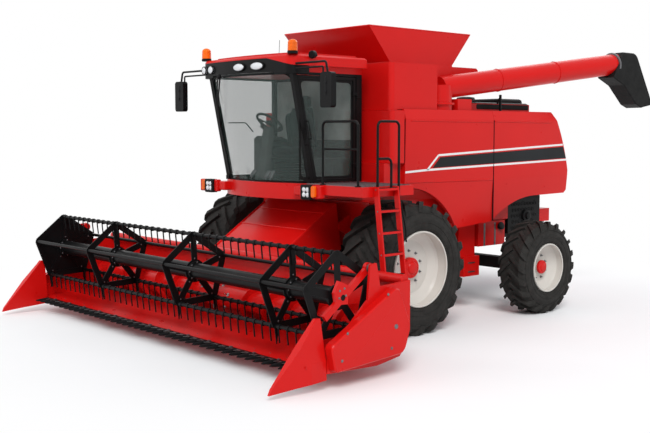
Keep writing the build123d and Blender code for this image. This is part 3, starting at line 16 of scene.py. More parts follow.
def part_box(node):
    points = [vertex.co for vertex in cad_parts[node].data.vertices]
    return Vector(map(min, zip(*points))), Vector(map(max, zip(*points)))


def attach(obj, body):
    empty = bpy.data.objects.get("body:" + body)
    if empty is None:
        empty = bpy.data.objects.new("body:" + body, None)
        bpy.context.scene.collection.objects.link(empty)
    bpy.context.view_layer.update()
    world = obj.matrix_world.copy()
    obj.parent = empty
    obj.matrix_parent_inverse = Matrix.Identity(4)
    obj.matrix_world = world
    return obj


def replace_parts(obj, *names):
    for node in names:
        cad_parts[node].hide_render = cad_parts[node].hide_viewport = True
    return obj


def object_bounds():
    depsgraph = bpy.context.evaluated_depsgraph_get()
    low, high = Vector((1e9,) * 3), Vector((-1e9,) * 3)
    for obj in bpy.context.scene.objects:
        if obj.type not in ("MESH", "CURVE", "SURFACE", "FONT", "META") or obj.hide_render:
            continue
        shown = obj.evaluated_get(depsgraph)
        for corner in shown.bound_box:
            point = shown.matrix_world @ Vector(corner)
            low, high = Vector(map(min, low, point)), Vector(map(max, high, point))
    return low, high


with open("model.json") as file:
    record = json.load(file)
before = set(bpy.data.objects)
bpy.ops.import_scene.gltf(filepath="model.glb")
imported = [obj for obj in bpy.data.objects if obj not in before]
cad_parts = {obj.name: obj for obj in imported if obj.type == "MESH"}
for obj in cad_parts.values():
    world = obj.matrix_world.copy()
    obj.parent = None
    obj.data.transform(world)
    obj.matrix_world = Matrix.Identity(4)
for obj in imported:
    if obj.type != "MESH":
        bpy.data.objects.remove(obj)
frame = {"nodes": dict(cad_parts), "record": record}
CAD_BOUNDS = [list(corner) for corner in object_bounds()]
RECORD = frame["record"]
NODES = frame["nodes"]
JOINTS = {joint["name"]: joint for joint in RECORD["behaviour"]["joints"]}
NODE_SLOTS = {part["node"]: part["material_slot"] for part in RECORD["subparts"]}
LOW, HIGH = (Vector(corner) for corner in CAD_BOUNDS)
CENTRE = (LOW + HIGH) / 2


def vec(x, y, z):
    return Vector((x, y, z))


def joint_place(name):
    return Vector(JOINTS[name]["pos_m"])


# ---- materials -----------------------------------------------------------

RED = (0.60, 0.006, 0.005)
BLACK = (0.0045, 0.0045, 0.0048)


class Nodes:
    """Short names for building the node tree of a material or a world round its shader."""

    def __init__(self, holder, shader):
        holder.use_nodes = True
        self.tree = holder.node_tree
        self.shader = self.tree.nodes[shader]

    def feed(self, node, sockets):
        """Links or sets the node's own sockets."""
        for key, value in sockets.items():
            if isinstance(value, bpy.types.NodeSocket):
                self.tree.links.new(value, node.inputs[key])
            else:
                node.inputs[key].default_value = value

    def add(self, kind, sockets, output=0, **settings):
        """Makes a node and gives one of its outputs."""
        node = self.tree.nodes.new(f"ShaderNode{kind}")
        for key, value in settings.items():
            setattr(node, key, value)
        self.feed(node, sockets)
        return node.outputs[output]

    def coords(self):
        """Object coordinates, from one node for the whole tree."""
        node = self.tree.nodes.get("Texture Coordinate")
        return node.outputs["Object"] if node else self.add("TexCoord", {}, "Object")

    def noise(self, scale, detail=3.0, rough=0.55, stretch=None):
        source = self.coords()
        if stretch:
            source = self.add("Mapping", {"Vector": source, "Scale": stretch})
        return self.add("TexNoise", {"Scale": scale, "Detail": detail, "Roughness": rough,
                                     "Vector": source}, "Fac")

    def ramp(self, fac, stops):
        """A blend between two colours, each given as (position, colour)."""
        colour = self.add("ValToRGB", {"Fac": fac}, "Color")
        for item, (position, shown) in zip(colour.node.color_ramp.elements, stops):
            item.position = position
            item.color = (*shown, 1.0)
        return colour

    def show_white(self, white_kind, output, share=None):
        """Plain white to the camera, reflections and glass, and the shader itself to the light."""
        path = self.add("LightPath", {}).node.outputs
        seen = path["Is Camera Ray"]
        for ray in ("Is Glossy Ray", "Is Transmission Ray"):
            seen = self.add("Math", {0: seen, 1: path[ray]}, operation="MAXIMUM")
        if share is not None:
            seen = self.add("Math", {0: seen, 1: share}, operation="MULTIPLY")
        white = self.add(white_kind, {"Color": (1, 1, 1, 1)})
        mix = self.add("MixShader", {"Fac": seen, 1: self.shader.outputs[0], 2: white})
        self.feed(self.tree.nodes[output], {"Surface": mix})


def shade(colour, factor):
    return tuple(min(1.0, part * factor) for part in colour)


def surface(name, colour, mottle, shades, film, rough, sockets, grain=None, stretch=None):
    """A colour mottled between two shades of itself, with uneven roughness and a fine grain.

    mottle and film are the noises of the colour and the roughness, shades the colour's two
    (position, factor) stops, and grain the bump's (scale, detail, strength, distance).
    """
    material = bpy.data.materials.new(name)
    n = Nodes(material, "Principled BSDF")
    tones = [(position, shade(colour, factor)) for position, factor in shades]
    sheen = {"Value": n.noise(*film, stretch=stretch), "To Min": rough[0], "To Max": rough[1]}
    n.feed(n.shader, {"Base Color": n.ramp(n.noise(*mottle), tones),
                      "Roughness": n.add("MapRange", sheen), **sockets})
    if grain:
        scale, detail, strength, distance = grain
        bump = {"Height": n.noise(scale, detail), "Strength": strength, "Distance": distance}
        n.feed(n.shader, {"Normal": n.add("Bump", bump)})
    return material


def paint(name, colour, rough=0.28, coat=0.05, wear=0.04, gloss=0.18):
    """Sprayed enamel with orange peel, faint mottling and dusty roughness."""
    return surface(
        name, colour, (1.3, 4.0), ((0.3, 1.0 - wear), (0.7, 1.0 + wear * 0.5)),
        (6.0, 5.0), (rough - 0.05, rough + 0.10),
        {"Coat Weight": coat, "Coat Roughness": 0.10, "Specular IOR Level": gloss},
        (420.0, 2.0, 0.03, 0.0006))


def rubber(name, colour, rough=0.75, grain=140.0):
    return surface(
        name, colour, (9.0, 6.0, 0.65), ((0.25, 0.7), (0.75, 1.7)),
        (26.0, 4.0), (rough - 0.12, rough + 0.10), {"Specular IOR Level": 0.12},
        (grain, 4.0, 0.25, 0.004))


def plastic(name, colour, rough=0.45, gloss=0.15, grain=0.10):
    return surface(
        name, colour, (5.0, 3.0), ((0.3, 0.85), (0.7, 1.25)),
        (18.0, 3.0), (rough - 0.08, rough + 0.08), {"Specular IOR Level": gloss},
        (260.0, 2.0, grain, 0.0006))


def metal(name, colour, rough=0.34):
    return surface(
        name, colour, (14.0, 4.0), ((0.3, 0.75), (0.7, 1.0)),
        (40.0, 4.0), (rough - 0.08, rough + 0.14), {"Metallic": 1.0},
        (120.0, 3.0, 0.08, 0.001), stretch=(1.0, 1.0, 12.0))


def glass(name, tint, alpha):
    """Thin tinted pane: see-through with a sharp sheen, and faint film on it."""
    return surface(
        name, tint, (2.0, 3.0), ((0.3, 0.9), (0.7, 1.0)), (3.0, 4.0), (0.02, 0.06),
        {"Alpha": alpha, "IOR": 1.5, "Specular IOR Level": 0.8})


MATERIALS = {
    "red_paint": paint("enamel_red", RED),
    "black_paint": paint("enamel_black", BLACK, rough=0.36, coat=0.0, wear=0.2, gloss=0.12),
    "white_paint": paint("enamel_white", (0.60, 0.575, 0.53), rough=0.30, coat=0.1, wear=0.02),
    "tyre_rubber": rubber("tyre_rubber", (0.021, 0.020, 0.0185)),
    "black_rubber": rubber("boot_rubber", (0.010, 0.010, 0.010), rough=0.55),
    "black_plastic": plastic("moulded_black", (0.009, 0.009, 0.0095), gloss=0.10),
    "tinted_glass": glass("cab_glass", (0.055, 0.095, 0.082), 0.23),
    "lamp_glass": glass("lamp_glass", (0.85, 0.87, 0.9), 0.5),
    "amber_plastic": plastic("amber_lens", (0.85, 0.17, 0.01), rough=0.2, gloss=0.5),
    "seat_fabric": rubber("seat_cloth", (0.006, 0.006, 0.007), rough=0.9, grain=420.0),
    "bare_steel": metal("ground_steel", (0.55, 0.55, 0.56)),
    "cast_block": metal("cast_iron", (0.16, 0.16, 0.17), rough=0.6),
}
# The scene's own materials, each paired with a slot name that no piece takes.
OWN_MATERIALS = {
    "stripe_white": ("white_paint", paint(
        "stripe_white", (0.80, 0.80, 0.79), rough=0.32, coat=0.1, wear=0.02)),
    "stripe_dark": ("black_paint", paint(
        "stripe_dark", (0.014, 0.016, 0.018), rough=0.34, coat=0.0, wear=0.2, gloss=0.12)),
    # flat near-black for the strips painted as the shade in the panel gaps and tank seams
    "gap_shade_black": ("black_paint", plastic(
        "gap_shade_black", (0.005, 0.005, 0.006), rough=0.8, gloss=0.03)),
    "seal_rubber": ("black_rubber", rubber("seal_rubber", (0.006, 0.006, 0.006), rough=0.55)),
    "moulded_black": ("black_plastic", plastic(
        "moulded_dark", (0.008, 0.008, 0.0085), gloss=0.10)),
    "boot_rubber": ("black_rubber", rubber("ribbed_rubber", (0.010, 0.010, 0.010), rough=0.6)),
    "interior_grey": ("black_plastic", plastic(
        "interior_grey", (0.060, 0.068, 0.064), rough=0.7, grain=0.03)),
    # the sheet on the cab's rear wall; its pale grey is a painted reflection of the rear window
    "window_reflection_grey": ("black_plastic", plastic(
        "window_reflection_grey", (0.30, 0.33, 0.31), rough=0.8, gloss=0.05, grain=0.02)),
    "dark_steel": ("bare_steel", metal("dark_steel", (0.20, 0.20, 0.21), rough=0.45)),
    "bright_steel": ("bare_steel", metal("bright_steel", (0.42, 0.42, 0.43), rough=0.32)),
    "work_lens": ("tinted_glass", glass("work_lens", (0.90, 0.92, 0.94), 0.75)),
    "beacon_amber": ("amber_plastic", plastic(
        "beacon_amber", (0.80, 0.13, 0.003), rough=0.25, gloss=0.25)),
    "red_lens": ("red_paint", plastic("red_lens", (0.45, 0.008, 0.008), rough=0.15, gloss=0.5)),
    "mirror_silver": ("tinted_glass", metal("mirror_silver", (0.82, 0.83, 0.84), rough=0.04)),
}


def dress_nodes():
    for name, item in NODES.items():
        item.data.materials.clear()
        item.data.materials.append(MATERIALS[NODE_SLOTS[name]])


# ---- mesh building -------------------------------------------------------

AXLE = joint_place("front_wheel_left_turn")
X_AXIS, Z_AXIS = vec(1, 0, 0), vec(0, 0, 1)
SIDES = (-1, 1)


def at(x, y, z):
    """A place measured from the ground under the front axle."""
    return vec(x, AXLE.y + y, LOW.z + z)


def above(x, y, z):
    """A place at the frame's x and y and a height above the ground."""
    return vec(x, y, LOW.z + z)


def evenly(first, last, count):
    return [first + (last - first) * k / (count - 1) for k in range(count)]


def turns(count, start=0.0):
    """Angles spread evenly round a circle, the first one start steps on."""
    return [2 * pi * (k + start) / count for k in range(count)]


def circle(centre, side, up, radius, count):
    return [centre + (side * cos(a) + up * sin(a)) * radius for a in turns(count)]


def round_x(centre, out, radius, angle):
    """A place out along X from the centre, and at the radius and angle round that line."""
    return centre + vec(out, radius * cos(angle), radius * sin(angle))


def frame_along(axis):
    """The axis with two directions square to it, all of length 1."""
    axis = Vector(axis).normalized()
    side = axis.cross(Z_AXIS if abs(axis.z) < 0.9 else X_AXIS).normalized()
    return axis, side, axis.cross(side).normalized()


def rounded(points, radius, steps=5):
    """The points' line with each inner corner bent round."""
    line = [points[0]]
    for before, corner, after in zip(points, points[1:], points[2:]):
        back, ahead = before - corner, after - corner
        reach = min(radius, back.length * 0.48, ahead.length * 0.48)
        start, end = corner + back.normalized() * reach, corner + ahead.normalized() * reach
        for k in range(steps + 1):
            t = k / steps
            line.append(start * (1 - t) ** 2 + corner * 2 * t * (1 - t) + end * t ** 2)
    return line + [points[-1]]


def rectangle(u0, u1, v0, v1):
    return [(u0, v0), (u1, v0), (u1, v1), (u0, v1)]


def round_loop(u0, u1, v0, v1, radius, per_side=14, per_corner=6):
    """A rectangle with round corners, as a closed list of (u, v)."""
    u_in, u_out, v_in, v_out = u0 + radius, u1 - radius, v0 + radius, v1 - radius
    arcs = []
    for k, (cu, cv) in enumerate(((u_out, v_out), (u_in, v_out), (u_in, v_in), (u_out, v_in))):
        angles = [radians(90 * k + 90 * j / per_corner) for j in range(per_corner + 1)]
        arcs.append([(cu + radius * cos(a), cv + radius * sin(a)) for a in angles])
    loop = []
    for arc, following in zip(arcs, arcs[1:] + arcs[:1]):
        (u, v), (next_u, next_v) = arc[-1], following[0]
        shares = [j / per_side for j in range(1, per_side)]
        loop += arc + [(u * (1 - t) + next_u * t, v * (1 - t) + next_v * t) for t in shares]
    return loop


def add_object(name, data):
    item = bpy.data.objects.new(name, data)
    bpy.context.collection.objects.link(item)
    return item


class Solid:
    """Collects shapes into one mesh, then makes a piece of it."""

    def __init__(self):
        self.bm = bmesh.new()

    def ring_skin(self, rings, loop=False):
        """Joins rings of the same count, closed at both ends or into a loop."""
        rows = [[self.bm.verts.new(point) for point in ring] for ring in rings]
        for here, there in zip(rows, rows[1:] + (rows[:1] if loop else [])):
            count = len(here)
            for k in range(count):
                after = (k + 1) % count
                self.bm.faces.new((here[k], here[after], there[after], there[k]))
        if not loop:
            self.bm.faces.new(list(reversed(rows[0])))
            self.bm.faces.new(rows[-1])
        return self

    def box(self, low, high):
        low, high = Vector(low), Vector(high)
        return self.tilted_box((low + high) / 2, high - low)

    def tilted_box(self, centre, size, degrees=0.0):
        """A box turned round its own X line."""
        made = bmesh.ops.create_cube(self.bm, size=1.0)["verts"]
        turn = Matrix.Rotation(radians(degrees), 4, "X")
        shape = Matrix.Translation(centre) @ turn @ Matrix.Diagonal((*size, 1.0))
        bmesh.ops.transform(self.bm, matrix=shape, verts=made)
        return self

    def block(self, low, high):
        """A box between two layout places."""
        return self.box(at(*low), at(*high))

    def rod(self, start, end, radius, end_radius=None, sides=20):
        side, up = frame_along(end - start)[1:]
        sizes = ((start, radius), (end, end_radius or radius))
        return self.ring_skin([circle(centre, side, up, size, sides) for centre, size in sizes])

    def lathe(self, profile, centre, axis, sides=48):
        """Turns (along, radius) pairs round the axis."""
        axis, side, up = frame_along(axis)
        return self.ring_skin([circle(centre + axis * along, side, up, max(radius, 1e-4), sides)
                               for along, radius in profile])

    def torus(self, centre, axis, radius, thick, sides=48, around=10):
        axis, side, up = frame_along(axis)
        outs = [side * cos(a) + up * sin(a) for a in turns(sides)]
        return self.ring_skin(
            [circle(centre + out * radius, out, axis, thick, around) for out in outs], loop=True)

    def pipe(self, points, radius, sides=12, bend=0.0):
        """A round tube along the points, its section carried along without twisting."""
        line = rounded(points, bend) if bend else points
        heading = (line[1] - line[0]).normalized()
        side, up = frame_along(heading)[1:]
        rings = []
        for k, point in enumerate(line):
            ahead = line[min(k + 1, len(line) - 1)] - line[max(k - 1, 0)]
            turn = heading.rotation_difference(ahead.normalized())
            heading = ahead.normalized()
            side, up = turn @ side, turn @ up
            rings.append(circle(point, side, up, radius, sides))
        return self.ring_skin(rings)

    def run(self, places, radius, sides=12, bend=0.0):
        """A pipe along layout places."""
        return self.pipe([at(*place) for place in places], radius, sides, bend)

    def plate(self, outline, thick, make_point):
        """A flat outline given thickness; make_point turns (u, v, depth) into a place."""
        return self.ring_skin([[make_point(u, v, d) for u, v in outline] for d in (0.0, thick)])

    def side_plate(self, outline, x, thick, side=1):
        """An outline in layout (y, z), standing on the face at x."""
        return self.plate(outline, thick, lambda y, z, depth: at(side * (x + depth), y, z))

    def bolt(self, place, axis, size=0.012, washer=True):
        if washer:
            ring = [(0, size * 1.25), (size * 0.18, size * 1.25), (size * 0.22, size * 1.1)]
            self.lathe(ring, place, axis, 16)
        head = [(0, size * 0.92), (size * 0.55, size * 0.92), (size * 0.7, size * 0.75)]
        return self.lathe(head, place, axis, 6)

    def side_bolts(self, side, x, places, size, washer=True):
        """Bolts at layout (y, z) places on the outward face at x."""
        for y, z in places:
            self.bolt(at(side * x, y, z), (side, 0, 0), size, washer)

    def piece(self, name, material, body="chassis", slot=None, bevel=0.0, levels=0, angle=35.0):
        bmesh.ops.recalc_face_normals(self.bm, faces=self.bm.faces)
        mesh = bpy.data.meshes.new(name)
        self.bm.to_mesh(mesh)
        self.bm.free()
        for face in mesh.polygons:
            face.use_smooth = True
        mesh.set_sharp_from_angle(angle=radians(angle))
        own_slot, look = OWN_MATERIALS.get(material) or (material, MATERIALS[material])
        mesh.materials.append(look)
        item = add_object(name, mesh)
        if bevel:
            edge = item.modifiers.new("edge", "BEVEL")
            edge.width, edge.segments, edge.limit_method = bevel, 2, "ANGLE"
            edge.angle_limit = radians(angle)
            edge.harden_normals = True
        if levels:
            smooth = item.modifiers.new("smooth", "SUBSURF")
            smooth.levels = smooth.render_levels = levels
        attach(item, body)
        return item


class Surface:
    """Finds where a ray meets a CAD node."""

    def __init__(self, node):
        item = NODES[node]
        corners = [item.matrix_world @ vert.co for vert in item.data.vertices]
        faces = [list(face.vertices) for face in item.data.polygons]
        self.tree = BVHTree.FromPolygons(corners, faces)

    def hit(self, start, direction, fallback=None):
        place = self.tree.ray_cast(Vector(start), Vector(direction).normalized())[0]
        return place if place is not None else fallback


def ribbon(start, end, width):
    """The outline of a straight line of that width between two (u, v) points."""
    du, dv = end[0] - start[0], end[1] - start[1]
    size = hypot(du, dv)
    u, v = dv / size * width / 2, du / size * width / 2
    return [(start[0] - u, start[1] + v), (end[0] - u, end[1] + v),
            (end[0] + u, end[1] - v), (start[0] + u, start[1] - v)]


# ---- side panels ---------------------------------------------------------

PANEL_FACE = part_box("side_panels_left")[1].x
SEAM_Y = 2.273
STRIPE_TOP = ((0.76, 2.245), (1.0, 2.455), (4.08, 2.585))
STRIPE_LOW = ((0.30, 2.222), (0.76, 2.245), (4.20, 2.335))
STRIPE_DARK = ((0.87, 2.272), (1.04, 2.425), (4.09, 2.55), (4.18, 2.36))
STRIPE_W = 0.030


def cut_between(outline, low, high):
    """The part of a convex outline between two y values."""
    kept = []
    for (y, z), (y2, z2) in zip(outline, outline[1:] + outline[:1]):
        if low <= y <= high:
            kept.append((y, z))
        crossings = [edge for edge in (low, high) if (y - edge) * (y2 - edge) < 0]
        for edge in sorted(crossings, key=lambda e: abs(e - y)):
            kept.append((edge, z + (z2 - z) * (edge - y) / (y2 - y)))
    return kept


def dress_side(side, word):
    """Stripes cut at the panels' seam, black strips painted as the shade in the panel gaps, pressed
    creases and bolts.
    """
    white, dark, seams, press = Solid(), Solid(), Solid(), Solid()
    bands = [(white, ribbon(*ends, STRIPE_W), 0.0012)
             for line in (STRIPE_TOP, STRIPE_LOW) for ends in zip(line, line[1:])]
    for low, high in ((0.2, SEAM_Y - 0.008), (SEAM_Y + 0.008, 4.3)):
        for solid, outline, thick in bands + [(dark, list(STRIPE_DARK), 0.0010)]:
            part = cut_between(outline, low, high)
            if len(part) > 2:
                solid.side_plate(part, PANEL_FACE + 0.0004, thick, side)
    white.piece(f"stripe_white_{word}", "stripe_white")
    dark.piece(f"stripe_dark_{word}", "stripe_dark")
    # black strips standing on the panel face, painted as the shade in the gaps between the panels
    seam = rectangle(SEAM_Y - 0.010, SEAM_Y + 0.010, 1.42, 2.975)
    seams.side_plate(seam, PANEL_FACE - 0.01, 0.0112, side)
    seams.side_plate(rectangle(0.281, 0.293, 2.36, 2.975), PANEL_FACE - 0.012, 0.0132, side)
    seams.piece(f"panel_gap_shade_{word}", "gap_shade_black")
    x = side * (PANEL_FACE + 0.001)
    for y0, z0, y1, z1 in ((0.42, 2.955, 2.24, 2.945), (2.31, 2.955, 3.72, 2.945),
                           (0.33, 2.075, 2.24, 2.055)):
        press.run([(x, y0, z0), (x, y1, z1)], 0.009, 8)
    press.side_bolts(side, PANEL_FACE - 0.0005,
                     ((0.75, 1.98), (1.75, 1.98), (2.6, 1.98), (3.6, 1.9)), 0.009)
    press.piece(f"panel_creases_{word}", "red_paint")


# ---- wheels --------------------------------------------------------------

HUB_PROFILE = (  # shares of the cap's depth and of its radius
    (0.0, 0.3), (0.0, 1.0), (0.55, 1.0), (0.72, 0.96), (0.8, 0.88),
    (0.82, 0.62), (1.0, 0.56), (1.08, 0.48), (1.1, 0.1))
RIMS = {  # hub cap radius, nut circle radius, nuts, cap bolts, lip radius
    "front": (0.145, 0.235, 10, 8, 0.512),
    "rear": (0.105, 0.182, 8, 6, 0.362),
}
TYRES = {"front": (0.525, 0.925), "rear": (0.375, 0.710)}  # inner and outer radius


def dress_rim(name, body, side, centre, hub_r, nut_r, nut_count, cap_bolts, lip_r):
    rim = Surface(name)
    out = (side, 0, 0)

    def face_at(radius, angle):
        start = round_x(centre, side * 1.5, radius, angle)
        return rim.hit(start, (-side, 0, 0), round_x(centre, 0, radius, angle))

    hub, nuts, lip = Solid(), Solid(), Solid()
    base, top = face_at(hub_r * 0.9, 0.4).x, face_at(0.01, 0.0).x
    depth = max(0.05, abs(top - base) + 0.02)
    hub_place = vec(base, centre.y, centre.z)
    hub.lathe([(depth * along, hub_r * wide) for along, wide in HUB_PROFILE], hub_place, out)
    for a in turns(cap_bolts):
        hub.bolt(round_x(hub_place, side * depth * 0.8, hub_r * 0.75, a), out, hub_r * 0.075)
    hub.piece(f"{name}_hub_cap", "red_paint", body, bevel=0.002)
    for a in turns(nut_count, 0.5):
        place = face_at(nut_r, a)
        nuts.bolt(place - vec(side * 0.002, 0, 0), out, 0.017)
        nuts.rod(place, place + vec(side * 0.032, 0, 0), 0.008, sides=10)
    nuts.piece(f"{name}_wheel_nuts", "dark_steel", body)
    low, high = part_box(name)
    edge = (high.x if side > 0 else low.x) - side * 0.004
    lip.torus(vec(edge, centre.y, centre.z), X_AXIS, lip_r, 0.011, 72)
    valve = face_at(lip_r * 0.72, 2.1)
    lip.rod(valve, valve + vec(side * 0.05, 0, 0), 0.006, sides=10)
    lip.piece(f"{name}_lip", "white_paint", body)


def dress_tyre(name, body, side, centre, inner_r, outer_r):
    """Moulded rings on the outer wall."""
    wall = Surface(name)
    rings = Solid()
    for share in (0.12, 0.30, 0.62):
        radius = inner_r + (outer_r - inner_r) * share
        place = wall.hit(centre + vec(side * 1.5, radius, 0), (-side, 0, 0))
        if place is not None:
            rings.torus(vec(place.x, centre.y, centre.z), X_AXIS, radius, 0.006, 72, 8)
    rings.piece(f"{name}_wall_rings", "tyre_rubber", body)


def dress_wheels():
    for side, word in ((1, "left"), (-1, "right")):
        for part, table, dress in (("rim", RIMS, dress_rim), ("tyre", TYRES, dress_tyre)):
            for end, sizes in table.items():
                centre = joint_place(f"{end}_wheel_{word}_turn")
                dress(f"{end}_{part}_{word}", f"{end}_wheel_{word}", side, centre, *sizes)


# ---- cab -----------------------------------------------------------------

CAB_FLOOR = 2.10
CAB_WALL = 0.84  # inside face of the side walls
SEAT_LEAN = 9.0  # degrees


def glass_border():
    """Black edge of the windscreen, draped on the curved pane."""
    pane = Surface("cab_glass")
    low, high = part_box("cab_glass")
    z0, z1 = low.z + 0.005, high.z - 0.005
    outer = round_loop(-0.915, 0.915, z0, z1, 0.03, 26)
    inner = round_loop(-0.885, 0.885, z0 + 0.022, z1 - 0.03, 0.10, 26)

    def drape(points, lift):
        placed = []
        for x, z in points:
            hits = (pane.hit((x * inward, low.y - 1.0, z), (0, 1, 0))
                    for inward in (1.0, 0.99, 0.975, 0.95))
            last_y = placed[-1].y if placed else low.y
            y = next((hit.y for hit in hits if hit is not None), last_y)
            placed.append(vec(x, y - lift, z))
        return placed

    rings = [drape(outer, 0.001), drape(outer, 0.004), drape(inner, 0.004), drape(inner, 0.001)]
    Solid().ring_skin(rings, loop=True).piece("windscreen_border", "seal_rubber")


def door_border():
    low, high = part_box("cab_door_glass")
    outer = round_loop(low.y + 0.001, high.y - 0.001, low.z + 0.001, high.z - 0.001, 0.02, 10)
    inner = round_loop(low.y + 0.035, high.y - 0.035, low.z + 0.035, high.z - 0.035, 0.06, 10)
    rings = [[vec(high.x + out, y, z) for y, z in loop]
             for loop, out in ((outer, -0.001), (outer, 0.004), (inner, 0.004), (inner, -0.001))]
    Solid().ring_skin(rings, loop=True).piece("door_glass_border", "seal_rubber", "cab_door_leaf")
    pull = [vec(high.x + out, low.y + 0.10, z)
            for out, z in ((0.01, 2.62), (0.06, 2.62), (0.06, 2.84), (0.01, 2.84))]
    Solid().pipe(pull, 0.010, 10, 0.03).piece("door_pull", "moulded_black", "cab_door_leaf")


def wiper():
    """Two arms and a blade that follow the curved windscreen."""
    pane = Surface("cab_glass")
    low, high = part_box("cab_glass")

    def on(x, down, lift):
        z = high.z - 0.02 - down
        hit = pane.hit((x, low.y - 1.0, z), (0, 1, 0), vec(x, low.y, z))
        return vec(x, hit.y - lift, z)

    arm = Solid()
    arm.lathe([(0, 0.035), (0.03, 0.035), (0.045, 0.02)], on(-0.43, 0, 0.05), (0, -1, 0), 20)
    arm.pipe([on(-0.40, 0, 0.06), on(-0.62, 0.36, 0.08), on(-0.80, 0.72, 0.05)], 0.011, 8)
    arm.pipe([on(-0.48, 0, 0.06), on(-0.68, 0.36, 0.08), on(-0.83, 0.68, 0.05)], 0.009, 8)
    blade = [on(x, down, 0.03) for x, down in (
        (-0.85, 0.42), (-0.835, 0.78), (-0.81, 1.12), (-0.79, 1.40))]
    arm.pipe(blade, 0.013, 8)
    arm.pipe([point + vec(0, 0.014, 0) for point in blade], 0.006, 6)
    arm.piece("wiper", "moulded_black")


def cushion(name, centre, size, turn, crown, material="seat_fabric"):
    """A stuffed pad: a rounded block whose broad faces swell in the middle."""
    power = 5.0
    rows = 13
    rings = []
    for j in range(rows):
        lat = pi * (j + 0.5) / rows - pi / 2
        ring = []
        for lon in turns(40):
            u, v, w = cos(lat) * cos(lon), cos(lat) * sin(lon), sin(lat)
            scale = (abs(u) ** power + abs(v) ** power + abs(w) ** power) ** (-1.0 / power)
            u, v, w = u * scale, v * scale, w * scale
            swell = 1.0 + crown * (1 - u * u) * (1 - v * v)
            local = vec(u * size[0] / 2, v * size[1] / 2, w * size[2] / 2 * swell)
            ring.append(centre + turn @ local)
        rings.append(ring)
    item = Solid().ring_skin(rings).piece(name, material, slot="seat_fabric", levels=1, angle=80)


def seat():
    """Crowned cushions with bolsters and armrests on a moulded shell."""
    low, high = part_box("driver_seat")
    middle = (low + high) / 2
    upright, flat = (Matrix.Rotation(radians(angle), 3, "X") for angle in (SEAT_LEAN, -4))
    back = vec(0, high.y - 0.085, low.z + 0.43)

    def base(x, y, z):
        return vec(x, low.y + y, low.z + z)

    cushion("seat_cushion", base(0, 0.27, 0.075), (0.40, 0.46, 0.13), flat, 0.35)
    cushion("seat_back", back, (0.38, 0.12, 0.56), upright, 0.1)
    cushion("seat_headrest", back + vec(0, 0.055, 0.38), (0.26, 0.10, 0.17), upright, 0.1)
    for side, word in ((-1, "right"), (1, "left")):
        cushion(f"seat_bolster_{word}", base(side * 0.225, 0.28, 0.095), (0.085, 0.44, 0.13),
                flat, 0.2)
        cushion(f"back_bolster_{word}", back + vec(side * 0.215, -0.02, -0.03),
                (0.08, 0.13, 0.46), upright, 0.1)
        cushion(f"armrest_{word}", vec(side * 0.30, middle.y - 0.02, low.z + 0.26),
                (0.075, 0.34, 0.06), flat, 0.2, "boot_rubber")
    shell = Solid()
    shell.tilted_box(back + vec(0, 0.07, 0), (0.44, 0.03, 0.60), SEAT_LEAN)
    shell.box(base(-0.22, 0.06, -0.005), (0.22, high.y - 0.07, low.z + 0.015))
    for x in (-0.05, 0.05):
        shell.pipe([back + vec(x, 0.05, 0.27), back + vec(x, 0.055, 0.34)], 0.007, 8)
    for side in SIDES:
        shell.pipe([vec(side * 0.25, high.y - 0.06, low.z + 0.02),
                    vec(side * 0.30, high.y - 0.08, low.z + 0.22),
                    vec(side * 0.30, middle.y + 0.1, low.z + 0.24)], 0.012, 10, 0.04)
    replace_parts(shell.piece("seat_shell", "moulded_black", bevel=0.006), "driver_seat")
    seams = Solid()
    for x in (-0.09, 0.09):
        seams.pipe([base(x, 0.08, 0.157), base(x, 0.27, 0.167), base(x, 0.46, 0.17)], 0.0022, 6)
    seams.piece("seat_seams", "seal_rubber", slot="seat_fabric")


def steering():
    """Tilted wheel with three spokes and a knob, on a tapered column with a stalk."""
    centre, foot = at(0.0, -1.01, 2.93), at(0.0, -1.13, 2.09)
    axis = vec(0.0, 0.60, 0.80)
    side, up = frame_along(axis)[1:]
    wheel = Solid()
    for angle in (90, 210, 330):
        out = side * cos(radians(angle)) + up * sin(radians(angle))
        wheel.pipe([centre - axis * 0.02 + out * 0.03, centre - axis * 0.012 + out * 0.11,
                    centre + out * 0.19], 0.011, 8)
    wheel.torus(centre, axis, 0.200, 0.018, 48, 12)
    wheel.lathe([(-0.035, 0.03), (-0.03, 0.052), (-0.005, 0.055), (0.008, 0.045), (0.012, 0.01)],
                centre, axis, 32)
    knob = centre + up * 0.195
    wheel.rod(knob, knob + axis * 0.055, 0.016, 0.019, 14)
    wheel.piece("steering_wheel", "moulded_black")

    def along(share, x=0.0, y=0.0, z=0.0):
        return foot + (centre - foot) * share + vec(x, y, z)

    def squared(value):
        return copysign(abs(value) ** 0.6, value)

    column = Solid()
    column.ring_skin([
        [along(share, half_w * squared(cos(a)), half_d * squared(sin(a))) for a in turns(24)]
        for share, half_w, half_d in ((0.0, 0.11, 0.10), (0.25, 0.085, 0.075), (0.55, 0.075, 0.065),
                                      (0.8, 0.085, 0.07), (0.93, 0.06, 0.055))])
    column.pipe([along(0.86, -0.05, -0.02), along(0.9, -0.20, -0.01, 0.03)], 0.007, 8)
    column.piece("steering_column", "interior_grey", bevel=0.004)
    pedals = Solid()
    for x in (-0.20, 0.14, 0.24):
        pedals.tilted_box(at(x, -1.16, 2.20), (0.075, 0.012, 0.11), -35)
        pedals.run([(x, -1.16, 2.20), (x, -1.20, 2.12), (x, -1.18, 2.095)], 0.009, 8)
    pedals.piece("pedals", "dark_steel", bevel=0.003)


